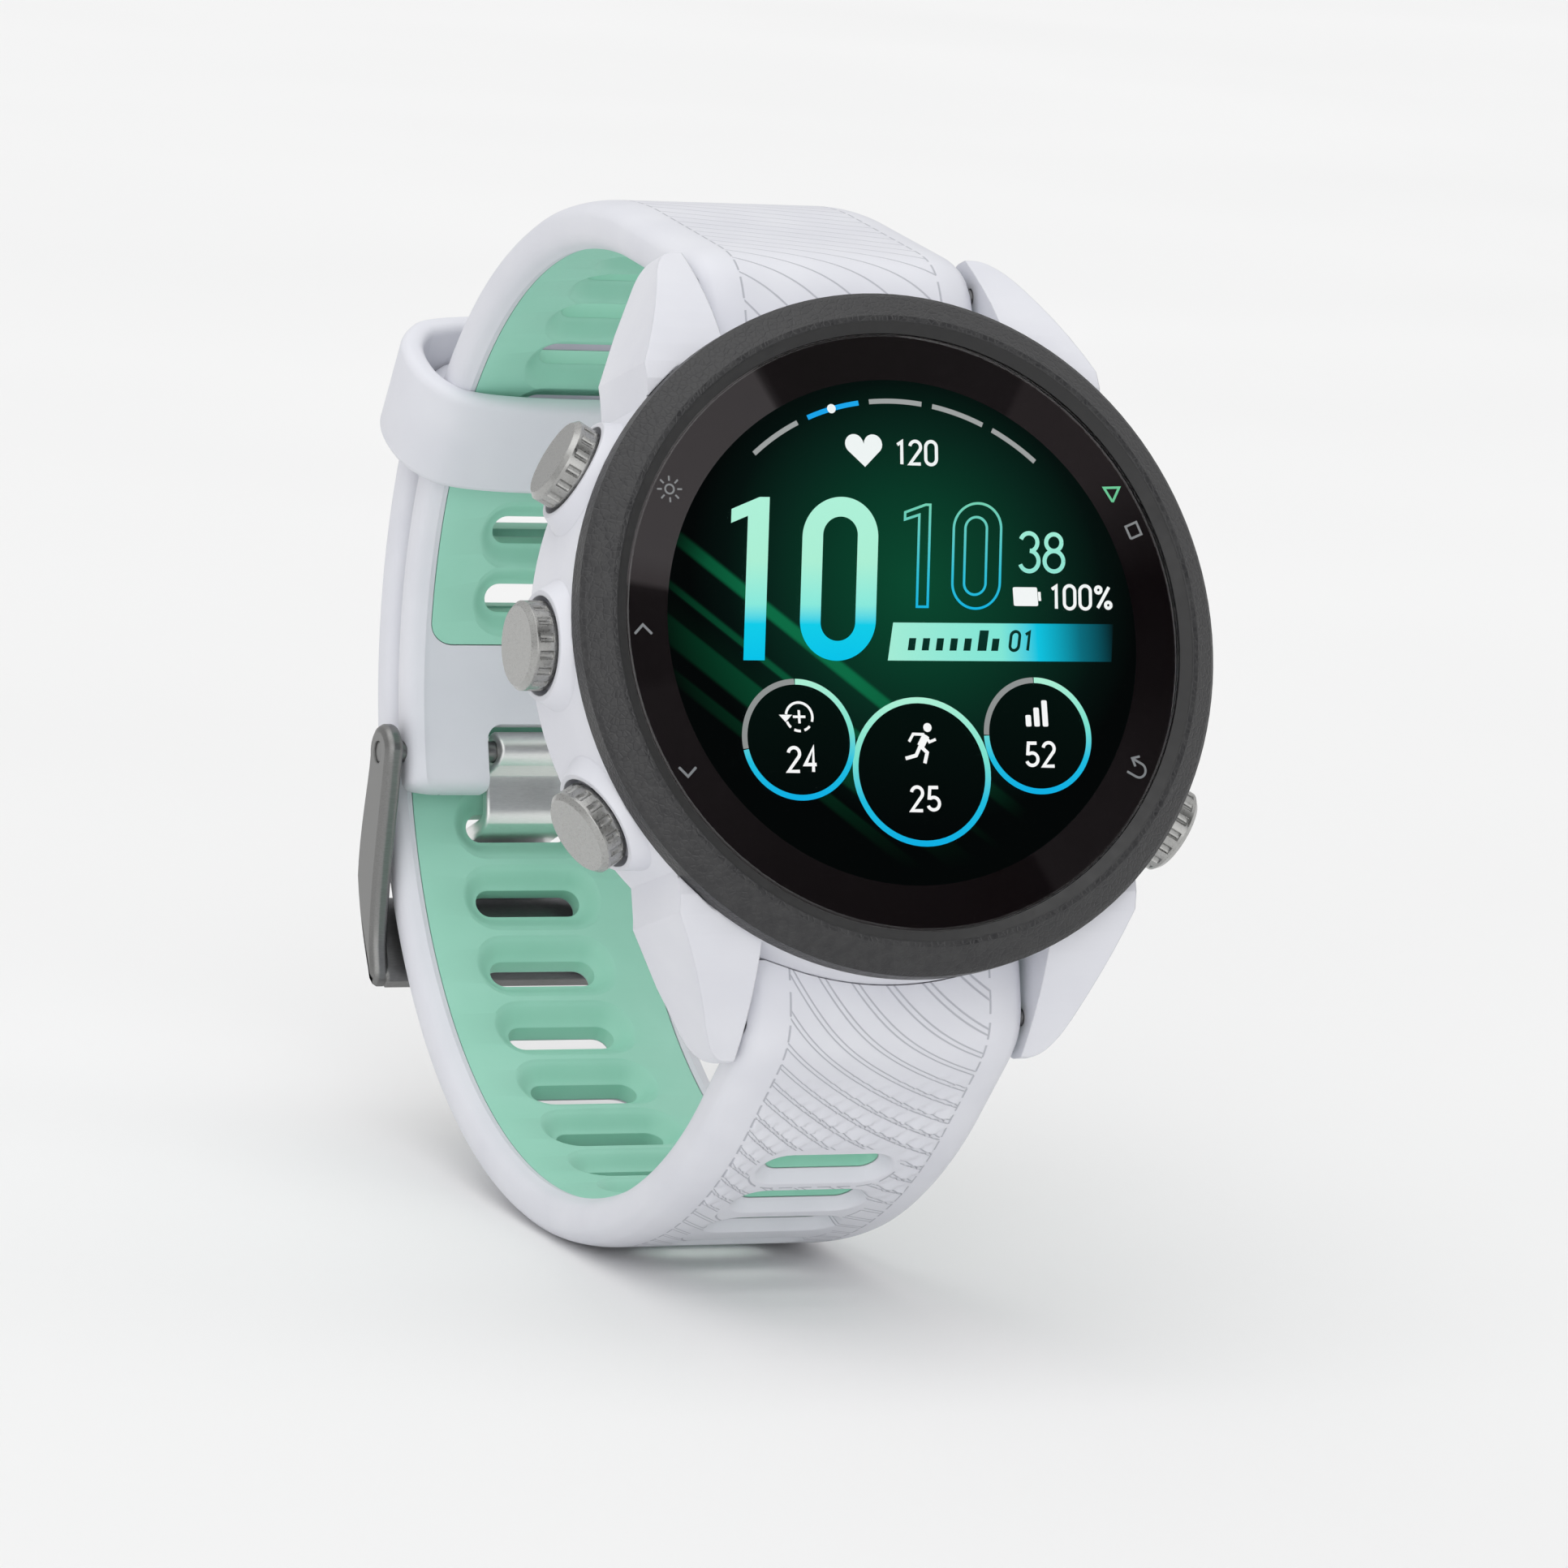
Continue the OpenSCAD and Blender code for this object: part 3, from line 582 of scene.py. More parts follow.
# a turning arrow with a plus: hours to recover
turn_x, turn_z, turn_r = -7.3, -5.2, 0.86
stroke(white, arc(turn_x, turn_z, turn_r, 170, -20, 20), 0.15)
for start in (200, 245, 290):
    stroke(white, arc(turn_x, turn_z, turn_r, start, start + 28, 6), 0.15)
white.plate([(turn_x - 1.3, turn_z + 0.12), (turn_x - 0.46, turn_z + 0.12), (turn_x - 0.9, turn_z - 0.32)],
            PICTURE, PICTURE + PICTURE_T)
stroke(white, [(turn_x - 0.4, turn_z), (turn_x - 0.02, turn_z), (turn_x + 0.4, turn_z)], 0.15)
stroke(white, [(turn_x, turn_z - 0.4), (turn_x, turn_z + 0.4)], 0.15)
# rising bars: fitness
for i, tall in enumerate((0.7, 1.15, 1.6)):
    left = 7.6 + i * 0.56
    white.plate(rounded_box(left, -5.75, left + 0.36, -5.75 + tall, 0.08, 3), PICTURE, PICTURE + PICTURE_T)
picture_piece("picture_white", white, white_paint)

# banner with the day of the week as bars, and the date
banner = Shape()
banner.plate([(-1.24, -1.76), (13.62, -1.76), (13.92, 0.55), (-0.72, 0.55)], PICTURE + 0.012, PICTURE + 0.035)
BANNER_RUN = [(0.0, "#a8f3dc"), (0.5, "#84ecdc"), (0.66, "#10c8e6"), (0.85, "#0b6f80"), (1.0, "#06181a")]
banner_paint = lit("banner_light", BANNER_RUN, -1.2, 13.9, "X")
picture_piece("picture_banner", banner, banner_paint)
day = Shape()
BAR_FOOT, BAR_SLOPE, TODAY = -1.14, 0.22, 5
for i in range(7):
    left = 0.1 + i * 0.92
    tall = 1.25 if i == TODAY else 0.75
    wide = 0.6 if i == TODAY else 0.46
    lean_by = tall * BAR_SLOPE
    day.plate([(left, BAR_FOOT), (left + wide, BAR_FOOT), (left + wide + lean_by, BAR_FOOT + tall),
               (left + lean_by, BAR_FOOT + tall)], PICTURE, PICTURE + PICTURE_T)
number(day, "01", 6.75, -1.2, 1.35, 0.19, 0.2, 0.2)
picture_piece("picture_date", day, dark_paint)

# the five-part gauge
for i, (start, end) in enumerate(((130.4, 116.0), (112.9, 98.5), (95.6, 81.5), (78.6, 64.6), (61.8, 48.3))):
    gauge = Shape()
    stroke(gauge, arc(0.05, 0, GAUGE_R, start, end, 16), 0.3)
    picture_piece(f"picture_gauge_{i + 1}", gauge, blue_paint if i == 1 else grey_paint)

# three round counters: dark face, ring, and grey unused part
# name: middle x and z, radius, width, and the angle at which the grey part ends
rings = {"left": (-7.42, -6.58, 3.5, 0.34, 190.0), "middle": (0.5, -8.52, 4.35, 0.36, 90.0),
         "right": (8.33, -6.32, 3.4, 0.34, 180.0)}
face_paint = lit("counter_face", [(0.0, "#020606"), (1.0, "#03110d")], -12.0, -3.0)
for name, (cx, cz, r, wide, grey_to) in rings.items():
    face = Shape()
    face.plate(arc(cx, cz, r - wide / 2, 0, 354, 59), PICTURE + 0.024, PICTURE + 0.04)
    picture_piece(f"picture_{name}_face", face, face_paint)
    run = [(0.0, AQUA), (0.3, "#22c3e6"), (0.6, "#7fe8d4"), (1.0, MINT)]
    paint = lit(f"{name}_ring_light", run, cz - r, cz + r)
    colour_ring = Shape()
    stroke(colour_ring, arc(cx, cz, r, grey_to - 360, 90, 64), wide)
    picture_piece(f"picture_{name}_ring", colour_ring, paint)
    if grey_to > 90:
        grey = Shape()
        stroke(grey, arc(cx, cz, r, 91, grey_to - 1, 24), wide)
        picture_piece(f"picture_{name}_rest", grey, grey_paint)


def on_ring(shape, angle, lines, width, turned=0.0):
    """Draws strokes at an angle on the printed ring; turned spins them about their own middle."""
    cx, cz = LABEL_R * cosd(angle), LABEL_R * sind(angle)
    c, s = cosd(turned), sind(turned)
    for line in lines:
        stroke(shape, [(cx + x * c - z * s, cz + x * s + z * c) for x, z in line], width)


# signs beside the buttons: a lamp, two chevrons, start and stop, and a way back. They are printed, yet made
# to glow, so their brightness is painted light.
LABEL_R = 17.0
signs = Shape()
rays = [arc(0, 0, 0.5, a, a, 1)[:1] + arc(0, 0, 0.8, a, a, 1)[:1] for a in range(0, 360, 45)]
on_ring(signs, 150, [arc(0, 0, 0.28, 0, 360, 20)] + rays, 0.11)
on_ring(signs, 180, [[(-0.55, -0.25), (0.0, 0.3), (0.55, -0.25)]], 0.15)
on_ring(signs, -150, [[(-0.55, 0.25), (0.0, -0.3), (0.55, 0.25)]], 0.15)
on_ring(signs, 22, [[(-0.4, -0.4), (0.4, -0.4), (0.4, 0.4), (-0.4, 0.4), (-0.4, -0.41)]], 0.14, 22)
on_ring(signs, -29.4, [[(-0.5, -0.45), (0.15, -0.45)] + arc(0.15, 0.0, 0.45, -80, 80, 12) + [(-0.5, 0.45)],
                       [(-0.15, 0.8), (-0.55, 0.45), (-0.15, 0.1)]], 0.14, -29)
# the signs glow: painted light, not lit by the lamps
picture_piece("button_signs", signs, lit("sign_light", [(0.0, "#7d8184"), (1.0, "#8a8c8d")], -15.0, 15.0))
start_sign = Shape()
on_ring(start_sign, 31, [[(-0.4, -0.5), (-0.4, 0.5), (0.5, 0.0), (-0.4, -0.51)]], 0.15, 31)
# the start sign glows green too: painted light
picture_piece("start_sign", start_sign, lit("start_light", [(0.0, "#62b98c"), (1.0, "#79d8a4")], 6.0, 11.0))


def greys(stops):
    return [(position, (value, value, value, 1)) for position, value in stops]


def screen_paint():
    """The lit ground: green glow, darker towards the edge, crossed by slanting streaks."""
    n = Nodes("screen_ground")
    place = n.place()
    x, z = n.axis(place, "X"), n.axis(place, "Z")
    off = n.new("ShaderNodeVectorMath", operation="DISTANCE")
    off.inputs[1].default_value = (1.0, 0.0, 3.0)
    n.link(place, off.inputs[0])
    greens = [(0.0, "#0a4a31"), (0.35, "#083a28"), (0.6, "#07271d"), (0.8, "#04110e"), (0.95, "#020505")]
    ground_tone = n.ramp(n.spread(off.outputs["Value"], 0.0, 15.5, 0.0, 1.0), greens)
    slope = math.radians(38)
    across = n.add(n.mul(x, math.sin(slope)), n.mul(z, math.cos(slope)))
    along = n.sub(n.mul(x, math.cos(slope)),
                    n.mul(z, math.sin(slope)))
    bands = [(0.0, 0), (0.09, 0.0), (0.1, 0.35), (0.125, 0.35), (0.13, 0.0), (0.17, 0.0), (0.18, 0.5),
             (0.24, 0.5), (0.245, 0.05), (0.3, 0.0), (0.305, 0.6), (0.318, 0.6), (0.325, 0.0), (0.41, 0.0),
             (0.42, 1.0), (0.445, 1.0), (0.455, 0.0), (1.0, 0.0)]
    stripe = n.ramp(n.spread(across, -14.0, 8.0, 0.0, 1.0), greys(bands))
    fade = n.ramp(n.spread(along, -16.0, 14.0, 0.0, 1.0),
                  greys([(0.0, 0), (0.12, 0.8), (0.5, 0.75), (0.75, 0.3), (0.95, 0)]))
    inside = n.ramp(n.spread(off.outputs["Value"], 10.0, 17.5, 0.0, 1.0), greys([(0.0, 1), (1.0, 0)]))
    amount = n.mul(n.mul(stripe, fade), inside)
    n.bsdf.inputs["Base Color"].default_value = (0, 0, 0, 1)
    n.bsdf.inputs["Roughness"].default_value = 0.6
    n.glow(n.tint(amount, ground_tone, "#0e7a4e"))
    return n.material


ground = Shape()
ground.plate(arc(0, 0, SCREEN_R + 0.3, 0, 357, 119), PICTURE + 0.045, PICTURE + 0.12)
finish_mesh("screen", ground.mesh("screen"), "watch", screen_paint(), 30)

INK_TOP = PICTURE + PICTURE_T + 0.01
INK_BACK = 0.9


def ink_with_painted_reflection():
    """Printed ring under the glass. It glows, and its lighter sectors by angle are a painted reflection of
    the lights in the glass.
    """
    n = Nodes("ink_ring")
    place = n.place()
    turn = n.maths("ARCTAN2", n.axis(place, "Z"), n.axis(place, "X"))
    share = n.spread(turn, -math.pi, math.pi, 0.0, 1.0)
    # painted reflection: lighter sectors by angle where the glass would mirror the lights; the dark stops are
    # the ink itself
    painted_reflection_sectors = [(0, "#120f10"), (11, "#120f10"), (11.6, "#181516"), (36, "#151213"), (60, "#0f0c0d"),
               (108, "#0a0607"), (119, "#090607"), (119.6, "#171415"), (150, "#151213"), (170, "#0a0708"),
               (192, "#060304"), (204, "#171415"), (216, "#242021"), (239, "#242021"), (240, "#171415"),
               (288, "#121010"), (298, "#141112"), (298.6, "#3d3a3b"), (345, "#403d3e"), (351, "#353132"),
               (351.6, "#141112"), (360, "#120f10")]
    colour = n.ramp(share, [(degrees / 360, code) for degrees, code in painted_reflection_sectors])
    fine = n.noise(place, 4.0)
    n.bsdf.inputs["Base Color"].default_value = linear("#0b090a")
    n.rough(fine, 0.5, 0.6)
    # the ring glows, so the ink's tone and the painted reflection do not come from the lamps
    n.glow(colour)
    return n.material


ink = lathe([(SCREEN_R, INK_TOP), (LENS_R - 0.1, INK_TOP), (LENS_R - 0.1, INK_BACK), (SCREEN_R, INK_BACK)])
finish_mesh("ink_ring", mesh_of("ink_ring", *ink), "watch", ink_with_painted_reflection(), 30)

EDGE_R = 0.22
cover_points = [(0.0, 0.0), (LENS_R - EDGE_R, 0.0)]
cover_points += [(LENS_R - EDGE_R + EDGE_R * sind(a),
                  EDGE_R - EDGE_R * cosd(a)) for a in range(15, 91, 15)]
cover_points += [(LENS_R, GLASS_T), (0.0, GLASS_T)]


def disc_lathe(points, steps=160):
    """Turns an open profile that starts and ends on the axis."""
    inner = points[1:-1]
    n = len(inner)
    vertices = [(0, points[0][1], 0), (0, points[-1][1], 0)]
    faces = []
    for i in range(steps):
        a = math.tau * i / steps
        vertices += [(r * math.cos(a), y, r * math.sin(a)) for r, y in inner]
    for i in range(steps):
        a, b = 2 + i * n, 2 + ((i + 1) % steps) * n
        faces.append((0, b, a))
        faces.append((1, a + n - 1, b + n - 1))
        faces += [(a + j, b + j, b + j + 1, a + j + 1) for j in range(n - 1)]
    return vertices, faces


cover = finish_mesh("cover_glass", mesh_of("cover_glass", *disc_lathe(cover_points)), "watch",
                    glass("clear_glass"), 30)
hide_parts("lens")

# ---- materials of the carried-over nodes ---------------------------------------------------

LAVENDER, LAVENDER_SHADE = "#dfe0e6", "#d9dae1"
case_paint = moulded("case_polymer_satin", LAVENDER, LAVENDER_SHADE, 0.42, 3.2, 0.2, 0.14)
silicone = moulded("strap_silicone_satin", LAVENDER, LAVENDER_SHADE, 0.5, 4.0, 0.18, 0.16)
mint_silicone = moulded("liner_silicone_mint", "#a2ddc7", "#9bd8c1", 0.5, 4.0, 0.18, 0.1)
PAINTS = {
    "case_polymer": case_paint,
    "cover_polymer": moulded("cover_polymer_satin", "#ccced9", "#c5c7d2", 0.4, 3.2, 0.2, 0.12),
    "bezel_polymer": leather("bezel_leather_grain", "#303031", "#232325", "#161617"),
    "strap_silicone": silicone,
    "liner_silicone": mint_silicone,
    "button_steel": metal("button_steel_satin", "#b5b5b3", "#a3a3a1", 0.28, (1, 1, 1), 6.0, 0.1, 0.08),
    "buckle_steel": metal("buckle_steel_brushed", "#8a8a89", "#7b7b7a", 0.32, (1, 6, 6), 2.0, 0.08, 0.2),
    # painted light: the tang's base is raised near white, brighter than the steel's own colour, to stand in
    # for the bright reflection on it
    "tang_steel": metal("tang_steel_satin", "#f8f8f6", "#ececea", 0.36, (1, 6, 6), 2.0, 0.08, 0.15),
    "screw_steel": metal("screw_steel_satin", "#9c9c9c", "#868686", 0.3),
    "spring_steel": metal("spring_steel_drawn", "#a5a5a5", "#8d8d8d", 0.25),
    "motor_steel": metal("motor_steel_can", "#b0b0ae", "#9b9b99", 0.3),
    "antenna_metal": metal("antenna_plating", "#d2ad62", "#bb9650", 0.3),
    "contact_gold": metal("contact_gold_plating", "#dbb268", "#c79c52", 0.22),
    "cell_foil": metal("cell_foil_creased", "#c0c1c4", "#a7a8ab", 0.36, (1, 1, 1), 0.8, 0.3),
    "lens_glass": glass("spare_glass"),
    "display": moulded("display_glass_black", "#08100f", "#050908", 0.15, 2.0, 0.02),
    "adhesive": moulded("adhesive_black", "#101010", "#0a0a0a", 0.6),
    "copper_flex": moulded("flex_film_amber", "#a8701f", "#8f5b14", 0.35),
    "carrier_polymer": moulded("carrier_black", "#28282a", "#202022", 0.55),
    "board": moulded("board_solder_mask", "#0c3f27", "#0a3520", 0.3, 2.0, 0.1, 0.03, 0.3),
    "chips": moulded("chip_black", "#1b1b1c", "#141415", 0.5, 5.0),
    "membrane": moulded("vent_membrane", "#dadadd", "#cbcbcf", 0.7, 8.0, 0.4),
    "seal_rubber": moulded("seal_black", "#161616", "#0f0f0f", 0.6),
    "sensor_window": moulded("sensor_window_dark", "#101012", "#0b0b0d", 0.08, 1.0, 0.02, 0.1, 0.5),
    "sensor_parts": moulded("sensor_emitters", "#3f8a52", "#2f6f40", 0.25, 4.0, 0.1, 0.03, 0.4),
    "switch_polymer": moulded("switch_black", "#242426", "#1c1c1e", 0.5),
}
slot_of = {part["node"]: part["material_slot"] for part in RECORD["subparts"]}
for node_name, node_object in frame["nodes"].items():
    node_object.data.materials.clear()
    node_object.data.materials.append(PAINTS[slot_of[node_name]])
    node_object.data.set_sharp_from_angle(angle=math.radians(30))

# ---- straps --------------------------------------------------------------------------------

END_Y, END_Z = 6.6, 22.6      # both straps' middle lines set out from here
END_HALF = 9.3                # half the width between the lugs
NOSE_Y, NOSE_Z = 5.72, 19.0   # front of the end block, where it meets the case
HEEL_Y = 9.2                  # and its back
PANEL = 6.6                   # half the width of the patterned panel
HALF_T = STRAP_T / 2
END_STEPS = 26                # stations round a strap's end
BAND_STEP = 0.24              # and their distance along the rest of it


class Layer:
    """One half of the strap. Its path is measured by s, the distance along its middle line from
    where its curve meets its straight run: positive towards the watch, negative round the wrist."""

    def __init__(self, side, outer):
        self.side = side
        self.outer = outer
        self.mid = outer - HALF_T
        dy, dz = loop.y - END_Y, loop.z - side * END_Z
        reach = math.hypot(dy, dz)
        self.tilt = math.atan2(dz, dy) + side * math.asin(self.mid / reach)
        self.start = self.tilt + side * math.pi / 2
        self.run = math.sqrt(reach * reach - self.mid * self.mid)

    def s_at(self, angle):
        """The distance s of a place on the curve, whose angle is in degrees."""
        return self.side * (math.radians(angle) - self.start) * self.mid

    def at(self, s, depth):
        """The (y, z) place at a depth below the outer face."""
        r = self.outer - depth
        turn = self.start + self.side * min(s, 0.0) / self.mid
        ahead = max(s, 0.0) * self.side
        return Vector((loop.y + r * math.cos(turn) - ahead * math.sin(turn),
                       loop.z + r * math.sin(turn) + ahead * math.cos(turn)))

    def place(self, x, s, depth):
        y, z = self.at(s, depth)
        return (x, y, z)


upper = Layer(1, UPPER_R)
lower = Layer(-1, LOWER_R)


def bezier(a, b, c, d, steps):
    points = []
    for i in range(1, steps + 1):
        t = i / steps
        u = 1 - t
        points.append(a * u ** 3 + b * 3 * u * u * t + c * 3 * u * t * t + d * t ** 3)
    return points


def end_rails(layer, bend):
    """Outer and inner lines of the strap's end, from the straight run round to the case."""
    s = layer.run
    outer = bezier(layer.at(s - bend, 0), layer.at(s - bend * 0.1, 0), Vector((NOSE_Y, layer.side * 23.2)),
                   Vector((NOSE_Y, layer.side * NOSE_Z)), END_STEPS)
    inner = bezier(layer.at(s - bend, STRAP_T), layer.at(s - bend * 0.4, STRAP_T),
                   Vector((9.7, layer.side * 21.4)), Vector((HEEL_Y, layer.side * NOSE_Z)), END_STEPS)
    return outer, inner


def strap_section():
    """Closed section as (x, depth) for a half width of one: crowned outside, ridged rim inside."""
    wide = STRAP_W / 2
    columns = 80
    points = []
    for i in range(columns + 1):
        x = (2 * i / columns - 1) * 8.5
        fall = max(0.0, (abs(x) - PANEL) / (wide - PANEL))
        points.append((x, 1.1 * (1 - math.sqrt(1 - fall * fall))))
    rim_points = [(8.85, 0.6), (9.08, 0.84), (9.18, 1.1), (9.2, 1.6), (9.16, 2.1), (9.02, 2.5), (8.8, 2.78),
                  (8.5, 2.94), (8.22, 3.04), (8.12, 3.1), (8.02, 3.06), (7.6, 3.0)]
    points += rim_points
    points += [(6.0 - i * 2.0, 3.0) for i in range(7)]
    points += [(-x, depth) for x, depth in reversed(rim_points)]
    return points


SLOTS = {"upper": [TANG_SLOT + 0.7 + i * SLOT_PITCH for i in (3, 4, 6, 7, 8, 9, 10, 11)],
         "lower": [TANG_SLOT - 10 * SLOT_PITCH - i * CLOSE_PITCH for i in (2, 1)]
                  + [TANG_SLOT + i * SLOT_PITCH for i in range(-10, 6)]}


def relief(layer, x, s):
    """Height of the low facets moulded into the panel's outer face."""
    if abs(x) > PANEL - 0.05 or layer.side > 0:
        return 0.0
    u, v = pattern_at(x, s), (x * 0.55 - s) / 1.2
    grown = min(1.0, max(0.0, (6.5 - s) / 6.0)) * min(1.0, max(0.0, (s - layer.s_at(-104)) / 2.0))
    for angle in SLOTS["lower"]:
        reach = math.hypot(max(0.0, abs(x) - (SLOT_L - SLOT_H) / 2), s - layer.s_at(angle))
        grown *= min(1.0, max(0.0, reach - SLOT_H / 2 - 1.0))
    saw_u = (u - 0.62) - math.floor(u - 0.62)
    saw_v = v - math.floor(v)
    return 0.32 * grown * min(1.0 - saw_u, saw_v)


PITCH = 1.6
BEND_A, BEND_B = 0.68, 0.021  # how the pattern's lines lean and curve across the strap


def pattern_at(x, s):
    """Which line of the panel's pattern a place lies on."""
    return (s + BEND_A * x - BEND_B * x * x) / PITCH


def strap_body(layer, end_angle, tip_r, plan_r):
    """Lofts the section along the strap, from its free end to the case."""
    section = strap_section()
    n = len(section)
    first = layer.s_at(end_angle)
    bend = 3.6
    total = layer.run - bend - first
    count = round(total / BAND_STEP)
    vertices = []
    for i in range(count + 1):
        s = first + total * i / count
        away = s - first
        ease = tip_r - math.sqrt(tip_r ** 2 - (tip_r - away) ** 2) if away < tip_r else 0.0
        plan = plan_r - math.sqrt(plan_r ** 2 - (plan_r - away) ** 2) if away < plan_r else 0.0
        wide = STRAP_W / 2
        narrow = (wide - END_HALF) * min(1.0, max(0.0, s / 3.0))
        across = (wide - narrow - ease - plan) / wide
        for x, depth in section:
            high = relief(layer, x, s) if depth < 0.01 else 0.0
            flat = ease + depth * (STRAP_T - 2 * ease) / STRAP_T - high
            vertices.append(layer.place(x * across, s, flat))
    outer, inner = end_rails(layer, bend)
    across = END_HALF / (STRAP_W / 2)
    for a, b in zip(outer, inner):
        for x, depth in section:
            y, z = a.lerp(b, depth / STRAP_T)
            vertices.append((x * across, y, z))
    return vertices, loft_faces(len(vertices) // n, n)


def curved_plate(layer, s0, s1, half, depth0, depth1, corner, step=0.6):
    """A plate with rounded corners that follows the strap's curve."""
    ends = [corner * (1 - cosd(a)) for a in range(0, 91, 9)]
    middle_steps = max(1, round((s1 - s0 - 2 * corner) / step))
    stations = [s0 + e for e in ends[:-1]]
    stations += [s0 + corner + (s1 - s0 - 2 * corner) * i / middle_steps for i in range(middle_steps + 1)]
    stations += [s1 - e for e in reversed(ends[:-1])]
    vertices = []
    for s in stations:
        away = min(s - s0, s1 - s, corner)
        wide = half - corner + math.sqrt(max(0.0, corner ** 2 - (corner - away) ** 2))
        vertices += [layer.place(x, s, depth0) for x in (-wide, 0, wide)]
        vertices += [layer.place(x, s, depth1) for x in (wide, 0, -wide)]
    return vertices, loft_faces(len(stations), 6)


def stadium(length, height, steps=14):
    """Round-ended outline, as (x, along) points."""
    r = height / 2
    flat = (length - height) / 2
    return arc(flat, 0, r, -90, 90, steps) + arc(-flat, 0, r, 90, 270, steps)


def flared_slot(layer, angle, levels):
    """A slot's cutter: stadiums that swell by a margin at each (depth, margin) level."""
    middle = layer.s_at(angle)
    vertices = []
    for depth, margin in levels:
        turn = layer.start + layer.side * middle / layer.mid
        out = Vector((0, math.cos(turn), math.sin(turn)))
        along = Vector((0, -math.sin(turn), math.cos(turn)))
        centre = Vector((0, loop.y, loop.z)) + out * (layer.outer - depth)
        for x, t in stadium(SLOT_L + 2 * margin, SLOT_H + 2 * margin):
            vertices.append(tuple(centre + Vector((x, 0, 0)) + along * t))
    return vertices, loft_faces(len(levels), len(vertices) // len(levels))


DISH_STEPS = 8


def dish(edge_depth, throat_depth, margin):
    """Levels of a soft dish, from the strap's face down to the slot's straight throat."""
    levels = []
    for i in range(DISH_STEPS + 1):
        u = i / DISH_STEPS
        ease = (1 - math.cos(math.pi * u)) / 2
        sunk = 0.35 * u + 0.65 * ease
        levels.append((edge_depth + (throat_depth - edge_depth) * sunk, margin * (1 - u) + 0.01))
    return levels


COLLAR_TOP = 0.8  # how far below the outer face the liner's collars end
COLLAR_T = 0.4
COLLAR = [(COLLAR_TOP, COLLAR_T), (STRAP_T - 0.6, COLLAR_T)]
OUTER_DISH = ([(-0.4, 1.35)] + dish(-0.02, COLLAR_TOP - 0.05, 0.95)
              + [(COLLAR_TOP - 0.02, COLLAR_T + 0.03), (STRAP_T + 0.4, COLLAR_T + 0.03)])
INNER_DISH = [(COLLAR_TOP - 0.4, 0.0)] + list(reversed(dish(3.03, 2.0, 1.35))) + [(3.5, 1.9)]


def cut(name, solid, cutters, operation="DIFFERENCE"):
    """Takes cutters, given as vertices and faces, out of a mesh or a solid, or joins them to it."""
    mesh = solid if isinstance(solid, bpy.types.Mesh) else mesh_of(name, *solid)
    body = bpy.data.objects.new(name, mesh)
    bpy.context.scene.collection.objects.link(body)
    group = bpy.data.collections.new(name + "_cutters")
    bpy.context.scene.collection.children.link(group)
    for i, cutter in enumerate(cutters):
        group.objects.link(bpy.data.objects.new(f"{name}_cutter_{i}", mesh_of(f"{name}_cutter_{i}", *cutter)))
    boolean = body.modifiers.new("cut", "BOOLEAN")
    boolean.operation = operation
    boolean.operand_type = "COLLECTION"
    boolean.collection = group
    boolean.solver = "MANIFOLD"
    bpy.context.view_layer.update()
    result = bpy.data.meshes.new_from_object(body.evaluated_get(bpy.context.evaluated_depsgraph_get()))
    for thing in list(group.objects) + [body]:
        bpy.data.objects.remove(thing)
    bpy.data.collections.remove(group)
    return result


def pin_bore(y, z, r, half):
    """A cylinder along X."""
    steps = 32
    vertices = [(x, y + r * math.cos(math.tau * i / steps), z + r * math.sin(math.tau * i / steps))
                for x in (-half, half) for i in range(steps)]
    return vertices, loft_faces(2, steps)


def case_drum():
    """The round case, as a cutter for the straps' ends."""
    steps = 120
    r = 20.66
    vertices = [(r * math.cos(math.tau * i / steps), y, r * math.sin(math.tau * i / steps))
                for y in (-1, 14) for i in range(steps)]
    return vertices, loft_faces(2, steps)


